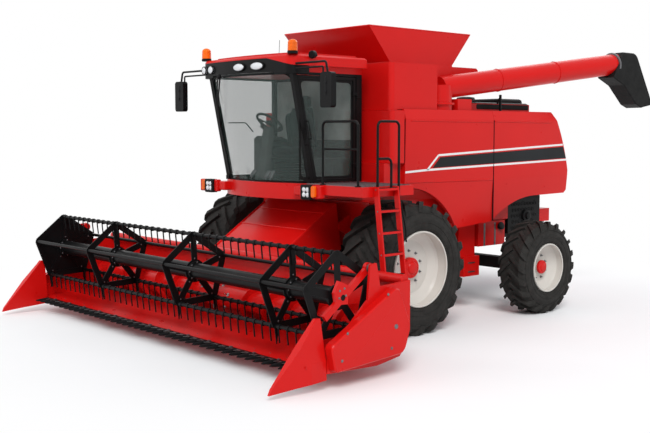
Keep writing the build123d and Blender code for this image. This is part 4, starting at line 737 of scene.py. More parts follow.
def controls():
    """Bellows under the seat, side console with its lever."""
    folds = 9
    floor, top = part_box("cab_controls")[0].z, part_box("driver_seat")[0].z
    rings = []
    for k, z in enumerate(evenly(floor, top, folds * 2 + 1)):
        half = 0.205 if k % 2 else 0.18
        loop = round_loop(-half, half, -half * 0.95, half * 0.95, 0.05, 3, 4)
        rings.append([vec(u, AXLE.y - 0.625 + v, z) for u, v in loop])
    item = Solid().ring_skin(rings).piece("seat_bellows", "boot_rubber", angle=20)
    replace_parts(item, "cab_controls")
    outline = [(-0.86, CAB_FLOOR), (-0.28, CAB_FLOOR), (-0.28, 2.62), (-0.40, 2.70),
               (-0.80, 2.74), (-0.86, 2.70)]
    Solid().side_plate(outline, -0.57, 0.17).piece("side_console", "interior_grey", bevel=0.015)
    lever = Solid()
    lever.run([(-0.485, -0.72, 2.72), (-0.485, -0.73, 2.80), (-0.485, -0.75, 2.86)], 0.008, 8)
    lever.lathe([(0, 0.014), (0.02, 0.024), (0.07, 0.026), (0.10, 0.022), (0.115, 0.008)],
                at(-0.485, -0.75, 2.84), (0, -0.25, 1), 20)
    for k in range(3):
        back = -0.07 * k
        lever.lathe([(0, 0.012), (0.012, 0.012), (0.016, 0.008)], at(-0.53, back - 0.42, 2.712),
                    Z_AXIS, 14)
        lever.block((-0.47, back - 0.45, 2.705), (-0.43, back - 0.41, 2.722))
    lever.piece("drive_lever", "moulded_black", bevel=0.002)


def cab_lining():
    """Floor mat, rear wall trim, a pale sheet on the rear wall whose paleness is a painted
    reflection of the rear window, and grab bars inside the cab.
    """
    mat = Solid().block((-CAB_WALL, -1.10, 2.0905), (CAB_WALL, -0.22, 2.098))
    for x in evenly(-0.80, 0.80, 16):
        mat.block((x - 0.008, -1.06, 2.098), (x + 0.008, -0.26, 2.102))
    mat.piece("floor_mat", "boot_rubber", bevel=0.001)
    wall = Solid()
    wall.plate(rectangle(-CAB_WALL, CAB_WALL, CAB_FLOOR, 2.68), 0.02,
               lambda x, z, depth: at(x, -0.19 + depth, z))
    wall.block((0.40, -0.52, CAB_FLOOR), (0.80, -0.20, 2.42))
    wall.block((-0.82, -0.60, CAB_FLOOR), (-0.60, -0.22, 2.55))
    wall.piece("rear_trim", "interior_grey", bevel=0.02)
    # sheet on the cab's rear wall, pale as a painted reflection of the rear window
    painted_reflection = Solid().block((-0.86, -0.172, 2.66), (0.86, -0.160, 3.56))
    painted_reflection.piece("rear_window_reflection", "window_reflection_grey", bevel=0.004)
    bars = Solid()
    bars.run([(0.83, -1.15, 2.75), (0.76, -1.12, 2.78), (0.76, -1.10, 3.15), (0.83, -1.16, 3.20)],
             0.012, 10, 0.04)
    bars.run([(-0.80, -1.15, 2.93), (-0.42, -1.12, 2.93), (-0.30, -1.08, 2.80)], 0.009, 10, 0.04)
    bars.piece("grab_bars", "moulded_black")


ROOF_LAMPS = (  # name, x, half width, half height
    ("lamp_outer", -0.95, 0.060, 0.055), ("lamp_second", -0.745, 0.072, 0.055),
    ("lamp_third", -0.01, 0.125, 0.052), ("lamp_fourth", 0.385, 0.130, 0.052))
ROOF_LAMP_Z = 3.69


def roof_lamp(name, x, half_w, half_h, lamps):
    """A bezel and a domed lens, square to the visor's curved front."""
    y = lamps.hit(at(x, -3.0, ROOF_LAMP_Z), (0, 1, 0), at(x, -1.53, ROOF_LAMP_Z)).y
    normal = vec(2 * 0.09 * x / 1.05 ** 2, -1.0, 0).normalized()
    across = vec(-normal.y, normal.x, 0) * half_w
    centre = above(x, y, ROOF_LAMP_Z)

    def rings(sizes):
        return [[centre + normal * out + across * wide * cos(a) + Z_AXIS * half_h * tall * sin(a)
                 for a in turns(40)] for wide, tall, out in sizes]

    bezel = Solid().ring_skin(rings((
        (0.9, 0.9, 0.0), (1.12, 1.12, 0.0), (1.12, 1.12, 0.012), (1.05, 1.05, 0.018),
        (0.96, 0.94, 0.014), (0.9, 0.88, 0.0))), loop=True)
    bezel.piece(f"{name}_bezel", "moulded_black")
    lens = Solid().ring_skin(rings((
        (0.97, 0.95, 0.004), (0.95, 0.93, 0.014), (0.75, 0.73, 0.022), (0.4, 0.4, 0.027),
        (0.05, 0.05, 0.028))))
    lens.piece(f"{name}_lens", "work_lens", angle=60)


def roof():
    lamps = Surface("roof_lamps")
    for lamp in ROOF_LAMPS:
        roof_lamp(*lamp, lamps)
    vents = Solid()
    for z in evenly(3.66, 3.78, 7):
        vents.block((-0.25, -0.12, z), (0.25, -0.085, z + 0.01))
    vents.piece("roof_rear_vent", "moulded_black", bevel=0.002)
    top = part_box("cab_roof")[1].z
    hatch = Solid()
    hatch.plate(round_loop(-0.38, 0.38, -1.05, -0.45, 0.08, 4), 0.018,
                lambda x, y, depth: vec(x, AXLE.y + y, top - 0.002 + depth))
    hatch.piece("roof_hatch", "red_paint", bevel=0.008)
    stand = Solid()
    stand.rod(at(1.0, -1.02, 3.80), at(1.0, -1.02, 3.85), 0.045, 0.035)
    stand.run([(1.0, -1.02, 3.84), (1.06, -1.06, 3.86), (1.09, -1.12, 3.84)], 0.012, 10, 0.03)
    stand.lathe([(0, 0.03), (0.01, 0.05), (0.06, 0.055), (0.075, 0.045)], at(1.09, -1.10, 3.83),
                (0.2, -1, -0.1), 24)
    stand.piece("roof_work_lamp", "moulded_black")
    mast = Solid().run([(-0.6, -0.35, 3.86), (-0.6, -0.33, 4.18)], 0.0035, 8)
    mast.lathe([(0, 0.02), (0.02, 0.018), (0.045, 0.008)], at(-0.6, -0.35, 3.858), Z_AXIS, 20)
    mast.piece("aerial", "moulded_black")


def beacons():
    """Ribbed amber domes on black bases."""
    low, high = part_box("beacons")
    bases, domes = Solid(), Solid()
    wide, height = (high.y - low.y) / 2, high.z - low.z
    ribs = [(0.036, wide * 0.80), (0.040, wide * 0.93)]
    for k in range(9):
        z, narrowing = 0.045 + (height - 0.085) * k / 8, 0.05 * k / 8
        ribs += [(z, wide * (0.96 - narrowing)), (z + 0.004, wide * (0.92 - narrowing))]
    ribs += [(height - 0.024, wide * 0.80), (height - 0.008, wide * 0.56), (height, wide * 0.2)]
    foot_profile = [(0, wide * 0.92), (0.012, wide), (0.030, wide), (0.036, wide * 0.9),
                    (0.04, wide * 0.8)]
    for x in (low.x + wide, high.x - wide):
        foot = vec(x, (low.y + high.y) / 2, low.z)
        bases.lathe(foot_profile, foot, Z_AXIS, 36)
        domes.lathe(ribs, foot, Z_AXIS, 40)
    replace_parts(domes.piece("beacon_domes", "beacon_amber", angle=25), "beacons")
    bases.piece("beacon_bases", "moulded_black")


def marker_lamps():
    """Lamp cluster at each front corner: clear lenses in a black frame, amber marker outside."""
    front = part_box("marker_lamps")[0].y
    frame_in, frame_out = 1.02, 1.22
    housings, frames, lenses, ambers = Solid(), Solid(), Solid(), Solid()

    def rings(side, loops):
        return [[above(side * u, front + depth, v) for u, v in loop] for loop, depth in loops]

    for side in SIDES:
        for inner, outer, y0, y1, z0, z1 in ((0.80, 1.06, 0.06, 0.34, 1.93, 2.06),
                                             (0.955, 1.39, 0.028, 0.115, 1.905, 2.085)):
            left, right = sorted((side * inner, side * outer))
            housings.box(above(left, front + y0, z0), above(right, front + y1, z1))
        outer_loop = round_loop(frame_in, frame_out, 1.890, 2.090, 0.025, 3, 5)
        inner_loop = round_loop(frame_in + 0.028, frame_out - 0.028, 1.918, 2.062, 0.018, 3, 5)
        frames.ring_skin(rings(side, ((outer_loop, 0.09), (outer_loop, -0.006),
                                      (inner_loop, -0.012), (inner_loop, 0.01))))
        for z in (1.955, 2.025):
            for x in (frame_in + 0.062, frame_in + 0.138):
                lenses.lathe([(0, 0.034), (0.008, 0.034), (0.014, 0.028), (0.018, 0.012)],
                             above(side * x, front + 0.006, z), (0, -1, 0), 24)
        marker = round_loop(frame_out + 0.012, frame_out + 0.087, 1.925, 2.075, 0.02, 3, 4)
        ambers.ring_skin(rings(side, ((marker, 0.03), (marker, 0.0), (marker, -0.006))))
    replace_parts(housings.piece("marker_housings", "red_paint", bevel=0.018), "marker_lamps")
    frames.piece("marker_frames", "moulded_black", bevel=0.003)
    lenses.piece("marker_lenses", "work_lens", angle=60)
    ambers.piece("marker_ambers", "beacon_amber", bevel=0.004)


def mirrors():
    """Silvered panes behind and brackets in front of the mirror heads."""
    low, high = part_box("mirrors")
    panes, trims = Solid(), Solid()
    for side in SIDES:
        x = side * 1.685
        loop = round_loop(x - 0.09, x + 0.09, 3.135, 3.53, 0.035, 4, 5)
        panes.ring_skin([[above(u, high.y + out, v) for u, v in loop] for out in (-0.002, 0.002)])
        for z in (3.30, 3.42):
            trims.rod(above(x, low.y - 0.012, z), above(x, low.y + 0.01, z), 0.018, 0.022, 16)
        trims.box(above(x - 0.022, low.y - 0.004, 3.26), above(x + 0.022, low.y + 0.02, 3.50))
    panes.piece("mirror_panes", "mirror_silver")
    trims.piece("mirror_brackets", "moulded_black", bevel=0.004)


# ---- platform and ladder -------------------------------------------------

DECK_Z = 2.09
LADDER_FOOT_Z = 0.61
LADDER_RISE = DECK_Z - LADDER_FOOT_Z
LADDER_LEAN = 0.19  # how far the foot stands out from the top
LADDER_STEPS = 6


def platform_trim():
    """Grating on the deck and the handrail's feet."""
    low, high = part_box("platform")
    deck = Solid()
    for y in evenly(low.y + 0.05, high.y - 0.05, 11):
        deck.box((low.x + 0.03, y - 0.006, high.z), (high.x - 0.03, y + 0.006, high.z + 0.010))
    for x in evenly(low.x + 0.06, high.x - 0.06, 5):
        deck.box((x - 0.004, low.y + 0.05, high.z), (x + 0.004, high.y - 0.05, high.z + 0.006))
    deck.piece("deck_grating", "dark_steel")
    feet = Solid()
    for x in (1.33, 2.01):
        foot = vec(x, low.y + 0.035, high.z)
        feet.lathe([(0, 0.042), (0.01, 0.042), (0.014, 0.03)], foot, Z_AXIS, 24)
        for a in (0.8, 2.4, 3.9, 5.5):
            place = foot + vec(0.033 * cos(a), 0.033 * sin(a), 0.009)
            feet.bolt(place, Z_AXIS, 0.006, False)
    feet.piece("rail_feet", "black_paint")


def ladder_trim():
    """Rubber strips on the treads, a bolt at each tread's end and the handrail's tail."""
    low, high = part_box("ladder")
    treads, bolts = Solid(), Solid()
    for z in evenly(0.68, 0.59 + LADDER_RISE, LADDER_STEPS):
        x = 2.13 + LADDER_LEAN * (DECK_Z - (z - 0.03)) / LADDER_RISE
        for strip in range(3):
            edge = x + 0.012 + 0.022 * strip
            treads.block((edge, -0.98, z), (edge + 0.010, -0.65, z + 0.006))
    treads.piece("ladder_grips", "boot_rubber", bevel=0.001)
    for y, out in ((low.y, -1), (high.y, 1)):
        for z in evenly(0.665, 0.575 + LADDER_RISE, LADDER_STEPS):
            x = 2.17 + LADDER_LEAN * (DECK_Z - z) / LADDER_RISE
            bolts.bolt(above(x, y, z), (0, out, 0), 0.009)
    bolts.piece("ladder_bolts", "dark_steel")
    tail = Solid()
    tail.run([(2.16, -0.585, 2.06), (2.20, -0.56, 1.80), (2.26, -0.54, 1.55), (2.28, -0.55, 1.36)],
             0.011, 10, 0.1)
    tail.piece("rail_tail", "black_paint")


# ---- tank, tube and hood -------------------------------------------------

TANK_SIDE, TANK_FRONT = 1.34, 0.21
# TANK_SEAM gives the edges of the black strip painted as the shade of the tank's seam
TANK_SEAM = (3.108, 3.114)  # lower and upper edge
TURRET_X, TURRET_Y = 1.16, 1.32
EXHAUST_X, EXHAUST_Y = -0.75, 3.10


def tank_trim():
    """Black strips painted as the shade in the seams of the tank's walls, bolts on the walls and a
    round edge on its extension.
    """
    seams, bolts, rim = Solid(), Solid(), Solid()
    seam_low, seam_high = TANK_SEAM
    # black strips on the walls and front, painted as the shade in the tank's seam
    for side in SIDES:
        seams.side_plate(rectangle(0.23, 1.07, *TANK_SEAM), TANK_SIDE - 0.0015, 0.0022, side)
    seams.block((-1.27, TANK_FRONT - 0.0025, seam_low), (1.27, TANK_FRONT - 0.0005, seam_high))
    seams.piece("tank_seam_shade", "gap_shade_black")
    for side in SIDES:
        places = [(y, z) for y in (0.34, 0.64, 0.94) for z in (3.16, 3.71)]
        bolts.side_bolts(side, TANK_SIDE, places, 0.007, False)
        for x in (0.3, 0.6, 0.9, 1.2):
            bolts.bolt(at(side * x, TANK_FRONT, 3.15), (0, -1, 0), 0.007, False)
    bolts.piece("tank_bolts", "red_paint")
    low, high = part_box("grain_tank_extension")
    inset = 0.006
    corners = [vec(x, y, high.z) for x, y in rectangle(
        low.x + inset, high.x - inset, low.y + inset, high.y - inset)]
    for ends in zip(corners, corners[1:] + corners[:1]):
        rim.pipe(ends, 0.011, 10)
    rim.piece("extension_rim", "red_paint")


def tube_trim():
    """Clamp bolts and spout clamp of the unloading tube, its turning seat and its cradle."""
    base, end = at(TURRET_X, TURRET_Y, 3.45), at(1.90, 4.90, 3.93)
    axis, side, up = frame_along(end - base)
    bolts = Solid()
    for share in (0.30, 0.62):
        for a in turns(12):
            out = side * cos(a) + up * sin(a)
            bolts.bolt(base + (end - base) * share + out * 0.1765, out, 0.006, False)
    bolts.piece("tube_clamp_bolts", "red_paint", "unloader")
    band = Solid()
    clamp = end - axis * 0.10
    band.lathe([(-0.02, 0.172), (-0.018, 0.196), (0.018, 0.196), (0.02, 0.172)], clamp, axis, 64)
    band.bolt(clamp + up * 0.19, up, 0.010)
    band.piece("spout_clamp", "dark_steel", "unloader")
    seat_ring = Solid()
    top = at(TURRET_X, TURRET_Y, 3.245)
    seat_ring.lathe([(-0.05, 0.19), (-0.045, 0.225), (-0.018, 0.225), (-0.012, 0.19)],
                    top, Z_AXIS, 64)
    for a in turns(12):
        seat_ring.bolt(top + vec(0.208 * cos(a), 0.208 * sin(a), -0.018), Z_AXIS, 0.009)
    seat_ring.piece("turret_flange", "red_paint", bevel=0.002)
    cradle = Solid().run([(1.26, 2.64, 3.10), (1.26, 2.64, 3.38)], 0.022)
    cradle.run([(1.20, 2.64, 3.24), (1.25, 2.64, 3.34)], 0.012, 10)
    cradle.piece("tube_cradle", "black_paint")


def hood_trim():
    """Top louvres, exhaust, cover and air intake, then the rear louvres and lamps."""
    louvres = Solid()
    for y in evenly(1.98, 2.98, 11):
        louvres.block((-0.85, y, 3.238), (0.05, y + 0.04, 3.250))
    louvres.piece("hood_louvres", "moulded_black", bevel=0.002)
    stack = Solid()
    stack.run([(EXHAUST_X, EXHAUST_Y, 3.22), (EXHAUST_X, EXHAUST_Y, 3.50),
               (EXHAUST_X, EXHAUST_Y + 0.06, 3.60)], 0.055, 20, 0.08)
    stack.lathe([(-0.12, 0.06), (-0.11, 0.075), (0.11, 0.075), (0.12, 0.06)],
                at(EXHAUST_X, EXHAUST_Y, 3.36), Z_AXIS, 32)
    stack.piece("exhaust_stack", "dark_steel")
    cover = Solid().tilted_box(at(0.72, 3.22, 3.27), (0.62, 0.62, 0.13))
    cover.block((0.55, 2.18, 3.12), (1.138, 3.568, 3.262))
    cover.piece("engine_cover", "moulded_black", bevel=0.05)
    intake = Solid().lathe(
        [(0, 0.11), (0.05, 0.11), (0.06, 0.16), (0.12, 0.17), (0.16, 0.15), (0.175, 0.05)],
        at(-0.20, 3.52, 3.235), Z_AXIS, 40)
    intake.piece("air_intake", "moulded_black")
    rear = Surface("engine_hood")
    grille, lights, clear = Solid(), Solid(), Solid()
    for k in range(14):
        place = rear.hit(at(0, 6.0, 2.10 + 0.055 * k), (0, -1, 0))
        if place is not None:
            grille.tilted_box(place + vec(0, 0.002, 0), (1.7, 0.014, 0.030), 25)
    grille.piece("rear_louvres", "moulded_black", bevel=0.002)
    for side in SIDES:
        place = rear.hit(at(side * 1.10, 6.0, 2.02), (0, -1, 0), at(side * 1.10, 4.1, 2.02))
        for rise, group in ((0.0, lights), (0.085, lights), (0.17, clear)):
            group.lathe([(0, 0.038), (0.012, 0.038), (0.02, 0.03), (0.024, 0.01)],
                        place + vec(0, -0.002, rise), (0, 1, 0), 28)
    lights.piece("rear_lamps", "red_lens")
    clear.piece("rear_markers", "beacon_amber")


def chopper_trim():
    """Punched rings, a flange, bolts and a drive on each side, and the spreading vanes."""
    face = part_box("straw_chopper")[1].x
    plates, vanes = Solid(), Solid()
    for side in SIDES:
        for row in range(5):
            for column in range(8):
                y = 3.07 + 0.085 * column + 0.02 * (row % 2)
                if y <= 3.68:
                    place = at(side * (face + 0.001), y, 1.24 + 0.095 * row)
                    plates.torus(place, X_AXIS, 0.026, 0.006, 16, 6)
        flange = round_loop(3.0, 3.75, 1.70, 1.76, 0.01, 2, 3)
        plates.side_plate(flange, face - 0.002, 0.02, side)
        plates.side_bolts(side, face, ((3.05, 1.66), (3.35, 1.66), (3.65, 1.66)), 0.011)
        plates.lathe([(0, 0.10), (0.03, 0.10), (0.04, 0.06), (0.07, 0.055), (0.075, 0.03)],
                     at(side * face, 3.42, 1.42), (side, 0, 0), 32)
    plates.piece("chopper_side_plates", "moulded_black", slot="black_paint")
    low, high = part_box("straw_deflector")
    for x in evenly(low.x + 0.10, high.x - 0.10, 13):
        vanes.side_plate([(3.80, 1.28), (4.06, 1.295), (4.06, 1.22), (3.90, 1.16)], x, 0.004)
    vanes.piece("chopper_vanes", "dark_steel")


# ---- chassis -------------------------------------------------------------

def chassis_trim():
    """Axle bolts, fuel cap, straps, pipes along the frame and the hitch's wear ring."""
    bolts = Solid()
    for side in SIDES:
        for a in turns(10):
            bolts.bolt(at(side * 1.285, 0.19 * cos(a), 0.925 + 0.19 * sin(a)), (-side, 0, 0),
                       0.010, False)
    bolts.piece("drive_bolts", "dark_steel")
    low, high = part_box("fuel_tank")
    cap = Solid()
    cap.lathe([(0, 0.05), (0.03, 0.05), (0.035, 0.062), (0.06, 0.062), (0.066, 0.05)],
              vec(high.x - 0.002, high.y - 0.14, high.z - 0.10), (1, 0, 0.3), 28)
    cap.piece("fuel_cap", "moulded_black")
    straps = Solid()
    for y in (low.y + 0.15, high.y - 0.25):
        straps.box((high.x - 0.002, y - 0.02, low.z), (high.x + 0.004, y + 0.02, high.z - 0.03))
        straps.bolt(vec(high.x + 0.004, y, low.z + 0.05), X_AXIS, 0.010)
    box_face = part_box("toolbox")[1].x
    for z in (0.60, 0.74):
        straps.block((box_face - 0.001, 2.0, z), (box_face + 0.006, 2.16, z + 0.02))
    straps.piece("box_straps", "dark_steel", bevel=0.001)
    pipes = Solid()
    for k, x in enumerate((0.70, 0.76, 0.82)):
        rise = 0.02 * k
        pipes.run([(x, -0.05, 1.20 + 0.03 * k), (x, 0.6, 1.16 + rise), (x, 1.5, 1.17 + rise)],
                  0.011, 8)
    pipes.piece("chassis_pipes", "boot_rubber")
    mount = Vector(RECORD["mounts"][0]["pos_m"])
    ring = Solid().torus(mount + vec(0, 0, 0.0215), Z_AXIS, 0.024, 0.004, 32, 8)
    ring.piece("hitch_wear_ring", "dark_steel")


# ---- header --------------------------------------------------------------

FEEDER_HALF = 0.775


def feeder_trim():
    """Ribs, edge angles and bolts on the feeder house, throat slats and the drive."""
    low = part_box("feeder_house")[0]
    house = Surface("feeder_house")
    ribs, slats, drive = Solid(), Solid(), Solid()

    def top(x, y, lift=0.0):
        return house.hit(at(x, y, 3.0), (0, 0, -1), at(x, y, 1.0)) + vec(0, 0, lift)

    for x in (-FEEDER_HALF + 0.01, FEEDER_HALF - 0.01):
        ribs.pipe([top(x, y, 0.004) for y in (-1.55, -1.0, -0.50)], 0.014, 8)
    for y in (-1.30, -0.95, -0.62):
        ribs.pipe([top(x, y) for x in (-FEEDER_HALF + 0.03, 0, FEEDER_HALF - 0.03)], 0.010, 8)
    for side in SIDES:
        for y in (-1.45, -1.2, -0.95, -0.7):
            place = top(side * (FEEDER_HALF - 0.005), y, -0.09)
            ribs.bolt(vec(side * 0.78, place.y, place.z), (side, 0, 0), 0.010)
    ribs.piece("feeder_ribs", "red_paint", "header")
    for z in evenly(low.z + 0.10, low.z + 0.43, 4):
        slats.tilted_box(vec(0, low.y - 0.012, z), (1.30, 0.02, 0.035))
        for x in (-0.55, 0.0, 0.55):
            slats.box((x - 0.03, low.y - 0.018, z - 0.045), (x + 0.03, low.y - 0.002, z + 0.055))
    slats.piece("throat_slats", "dark_steel", "header", bevel=0.002)
    drive.lathe([(0, 0.15), (0.01, 0.16), (0.05, 0.16), (0.06, 0.13), (0.065, 0.05), (0.09, 0.045),
                 (0.095, 0.02)], at(-0.78, -0.62, 1.30), (-1, 0, 0), 40)
    drive.piece("feeder_drive", "dark_steel", "header")


def header_trim():
    """Brackets on the header's back and bolts along its floor."""
    brackets, bolts = Solid(), Solid()
    for x in evenly(-3.0, 3.0, 9):
        if abs(x) > 0.85:
            brackets.block((x - 0.02, -1.60, 0.62), (x + 0.02, -1.575, 1.02))
    for x in (-1.9, 1.9):
        brackets.block((x - 0.9, -1.612, 0.60), (x + 0.9, -1.600, 0.64))
    brackets.piece("back_brackets", "red_paint", "header", bevel=0.003)
    for x in evenly(-3.15, 3.15, 22):
        bolts.bolt(at(x, -2.80, 0.2165), Z_AXIS, 0.008, False)
    bolts.piece("floor_bolts", "dark_steel", "header")


KNIFE_PITCH, KNIFE_Z = 0.0762, 0.209
GUARD_REACH, GUARD_HALF = 0.215, 0.033
GUARD_SHAPE = (  # share of the reach, of the half width, height
    (0.0, 1.0, 0.024), (0.45, 0.74, 0.022), (0.85, 0.28, 0.014), (1.0, 0.06, 0.005))
GUARD_SECTION = ((-1, -1), (1, -1), (1, 0.5), (0.4, 1), (-0.4, 1), (-1, 0.5))


def knife():
    """Guards, the toothed sections between them and the knife's clips."""
    low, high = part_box("cutterbar")
    points, blade, clips = Solid(), Solid(), Solid()
    count = int((high.x - low.x - 0.12) / KNIFE_PITCH)
    first, half = low.x + 0.06, KNIFE_PITCH / 2
    z = LOW.z + KNIFE_Z
    for k in range(count):
        x = first + (k + 0.5) * KNIFE_PITCH
        tooth = ((x - half + 0.001, 0.055), (x - 0.006, 0.125), (x + 0.006, 0.125),
                 (x + half - 0.001, 0.055))
        blade.ring_skin([[vec(u, high.y - v, z + d) for u, v in tooth]
                         for d in (0.001, 0.004)])
    for k in range(count // 2):
        x = first + (k + 0.5) * KNIFE_PITCH * 2
        points.ring_skin([
            [vec(x + GUARD_HALF * wide * u, high.y - 0.060 - GUARD_REACH * share,
                     z - 0.008 + rise * v) for u, v in GUARD_SECTION]
            for share, wide, rise in GUARD_SHAPE])
    points.piece("guard_points", "moulded_black", "header", "black_paint", bevel=0.003)
    blade.piece("knife_sections", "bright_steel", "header")
    for k in range(count // 6):
        x, y = low.x + 0.3 + k * KNIFE_PITCH * 6, high.y
        clips.box((x - 0.02, y - 0.06, z + 0.001), (x + 0.02, y - 0.01, z + 0.012))
        clips.bolt(vec(x, y - 0.03, z + 0.012), Z_AXIS, 0.008, False)
    clips.piece("knife_clips", "dark_steel", "header", bevel=0.002)


def shields():
    """A crease and screws on each end shield."""
    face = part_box("end_shields")[1].x
    creases, screws = Solid(), Solid()
    for side in SIDES:
        creases.run([(side * (face - 0.004), y, z) for y, z in (
            (-2.62, 0.31), (-2.35, 0.52), (-1.98, 0.86))], 0.006, 8)
        screws.side_bolts(side, face - 0.001,
                          ((-2.78, 0.33), (-2.70, 0.62), (-2.08, 0.98), (-2.02, 0.36)), 0.014)
        screws.rod(at(side * (face - 0.002), -1.95, 0.60), at(side * (face + 0.006), -1.95, 0.60),
                   0.03, 0.026, 24)
    creases.piece("shield_creases", "red_paint", "header")
    screws.piece("shield_screws", "dark_steel", "header")


def auger_fingers():
    """Retracting fingers in the middle of the header auger."""
    centre = joint_place("header_auger_turn")
    fingers = Solid()
    for k in range(10):
        a = radians(137.5 * k)
        out = vec(0, cos(a), sin(a))
        place = vec(-0.36 + 0.08 * k, centre.y, centre.z)
        fingers.rod(place + out * 0.145, place + out * 0.212, 0.008, 0.007, 10)
        fingers.lathe([(0.0, 0.026), (0.012, 0.024), (0.016, 0.012)], place + out * 0.147, out, 16)
    fingers.piece("auger_fingers", "bright_steel", "auger")


SPIDERS = [3.2 * share for share in (-1.0, -0.494, 0.128, 0.759, 1.0)]
BATS = 5
CRANK = ((-0.032, 0.0), (-0.024, 0.022), (0.0, 0.032), (0.024, 0.022), (0.032, 0.0))
TINE_PITCH, TINE_LENGTH = 0.152, 0.185


def inward(x):
    """The way from a spider to the tines beside it; only the last one looks left."""
    return -1 if x == SPIDERS[-1] else 1


def tine(solid, root):
    """A coil with one stiff wire that hangs down, bent forward at its tip."""
    wire = [root + vec(0, y, z) for y, z in (
        (-0.020, 0.010), (-0.020, -0.05), (-0.004, -TINE_LENGTH))]
    solid.pipe(wire, 0.0095, 8, 0.03)
    solid.lathe([(-0.022, 0.0235), (-0.018, 0.033), (0.018, 0.033), (0.022, 0.0235)],
                root, X_AXIS, 14)


def reel_bats():
    """Bat tubes, with tines and pointed cranks where the solid has them."""
    for index in range(1, BATS + 1):
        centre = joint_place(f"reel_bat_{index}_turn")
        low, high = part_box(f"reel_bat_{index}")
        drop = centre.z - low.z

        def on_bat(x, y=0.0, z=0.0):
            return vec(x, centre.y + y, centre.z + z)

        bat = Solid().rod(on_bat(low.x), on_bat(high.x), 0.0235)
        if high.z - low.z > 0.1:
            for left, right in zip(SPIDERS, SPIDERS[1:]):
                count = round((right - left) / TINE_PITCH)
                for k in range(count):
                    tine(bat, on_bat(left + (k + 0.5) * (right - left) / count))
            for x in SPIDERS:
                sign = inward(x)
                face = x + sign * 0.013
                bat.plate([*CRANK, (0.005, -drop), (-0.005, -drop)], 0.008 * sign,
                          lambda y, z, depth: on_bat(face + depth, y, z))
                bat.bolt(on_bat(face + 0.008 * sign), (sign, 0, 0))
        item = bat.piece(f"bat_{index}_tube", "black_paint", f"bat_{index}")
        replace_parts(item, f"reel_bat_{index}")


def reel_trim():
    """Bolts round each spider's hub and along its arms."""
    centre = joint_place("reel_turn")
    bolts = Solid()
    for x in SPIDERS:
        sign = inward(x)
        for a in turns(8):
            bolts.bolt(round_x(vec(x + sign * 0.0535, centre.y, centre.z), 0, 0.117, a),
                       (sign, 0, 0), 0.010)
        for k in range(BATS):
            for radius in (0.165, 0.42):
                place = round_x(vec(x + sign * 0.007, centre.y, centre.z), 0, radius,
                                radians(92.7 + 72 * k))
                bolts.bolt(place, (sign, 0, 0), 0.009)
    bolts.piece("reel_bolts", "dark_steel", "reel")


def reel_arm_trim():
    pivot, centre = joint_place("reel_lift"), joint_place("reel_turn")
    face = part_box("reel_arms")[1].x
    trims = Solid()
    for side in SIDES:
        trims.lathe([(0, 0.05), (0.012, 0.05), (0.02, 0.035), (0.03, 0.012)],
                    vec(side * face, pivot.y, pivot.z), (side, 0, 0), 28)
        for y, z in ((-0.05, 0.08), (0.02, 0.10), (0.04, 0.02), (-0.06, 0.0)):
            trims.bolt(vec(side * face, centre.y + y, centre.z + z), (side, 0, 0), 0.011)
    trims.piece("arm_fittings", "dark_steel", "reel_lift_arms")


def divider_trim():
    edges = Solid()
    for side in SIDES:
        edges.run([(side * 3.268, -3.625, 0.075), (side * 3.28, -3.30, 0.44),
                   (side * 3.29, -3.0, 0.79)], 0.007, 8)
        edges.side_bolts(side, 3.36, ((-3.2, 0.30), (-2.9, 0.40)), 0.010)
    edges.piece("divider_edges", "red_paint", "header")


def dress_parts():
    dress_side(1, "left")
    dress_side(-1, "right")
    for dress in (dress_wheels, glass_border, door_border, wiper, seat, steering, controls,
                  cab_lining, roof, beacons, marker_lamps, mirrors, platform_trim, ladder_trim,
                  tank_trim, tube_trim, hood_trim, chopper_trim, chassis_trim, feeder_trim,
                  header_trim, knife, shields, auger_fingers, reel_bats, reel_trim, reel_arm_trim,
                  divider_trim):
        dress()


# ---- stage ---------------------------------------------------------------

SUNS = (  # name, the way it comes from, strength, softness in degrees
    ("key", (0.55, -0.45, 0.70), 2.1, 26.0),
    ("front_fill", (-0.45, -0.75, 0.45), 0.55, 45.0),
    ("back_fill", (-0.25, 0.85, 0.45), 0.60, 45.0))
FLOOR_HALF = 60.0
FADE_START, FADE_END = 4.0, 8.5  # where the floor turns white, from the machine's middle
CAMERA_AZIMUTH, CAMERA_RISE = radians(48.374), radians(4.832)
CAMERA_FOCAL = 55.05
CAMERA_DISTANCE = 15.079
CAMERA_TARGET = vec(0.0, AXLE.y + 0.055, 1.517)


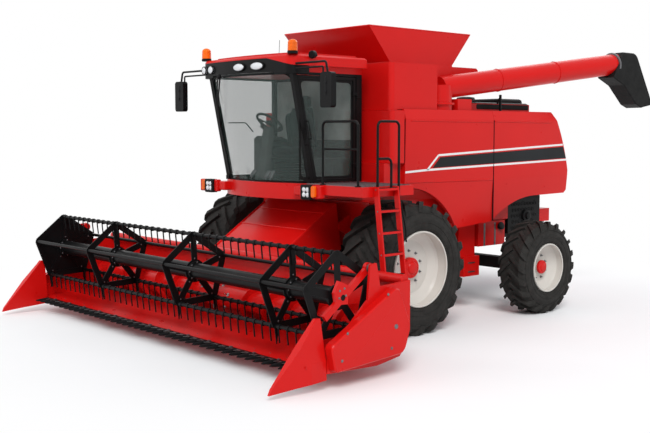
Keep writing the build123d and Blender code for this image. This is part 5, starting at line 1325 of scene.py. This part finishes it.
def make_world():
    world = bpy.data.worlds.new("studio")
    bpy.context.scene.world = world
    n = Nodes(world, "Background")
    n.feed(n.shader, {"Color": (0.93, 0.95, 1.0, 1.0), "Strength": 0.50})
    n.show_white("Background", "World Output")


def make_floor():
    """A pale floor that keeps the shadow near the machine and fades to white further out."""
    mesh = bpy.data.meshes.new("floor")
    corners = rectangle(-FLOOR_HALF, FLOOR_HALF, -FLOOR_HALF, FLOOR_HALF)
    mesh.from_pydata([(x, y, 0) for x, y in corners], [], [(0, 1, 2, 3)])
    floor = add_object("floor", mesh)
    floor.location = (CENTRE.x, CENTRE.y, LOW.z - 0.002)
    material = bpy.data.materials.new("pale_floor")
    n = Nodes(material, "Principled BSDF")
    tone = n.ramp(n.noise(0.4), [(0.3, (0.93, 0.93, 0.93)), (0.7, (0.95, 0.95, 0.95))])
    n.feed(n.shader, {"Base Color": tone, "Roughness": 0.95, "Specular IOR Level": 0.0})
    away = n.add("VectorMath", {0: n.coords()}, "Value", operation="LENGTH")
    fade = {"Value": away, "From Min": FADE_START, "From Max": FADE_END}
    share = n.add("MapRange", fade, interpolation_type="SMOOTHSTEP")
    n.show_white("Emission", "Material Output", share)
    mesh.materials.append(material)


def make_lights():
    for name, source, power, softness in SUNS:
        light = bpy.data.lights.new(name, "SUN")
        light.energy = power
        light.angle = radians(softness)
        item = add_object(name, light)
        item.rotation_euler = Vector(source).to_track_quat("Z", "Y").to_euler()


def make_camera():
    """A 3/4 front view from the left, at about the cab floor's height."""
    camera = bpy.data.cameras.new("camera")
    camera.lens = CAMERA_FOCAL
    camera.sensor_width = 36.0
    item = add_object("camera", camera)
    bpy.context.scene.camera = item
    flat = cos(CAMERA_RISE)
    back = vec(sin(CAMERA_AZIMUTH) * flat, -cos(CAMERA_AZIMUTH) * flat, sin(CAMERA_RISE))
    item.location = CAMERA_TARGET + back * CAMERA_DISTANCE
    item.rotation_euler = back.to_track_quat("Z", "Y").to_euler()


dress_nodes()
dress_parts()
make_world()
make_floor()
make_lights()
make_camera()

bpy.context.scene.view_settings.view_transform = "Standard"
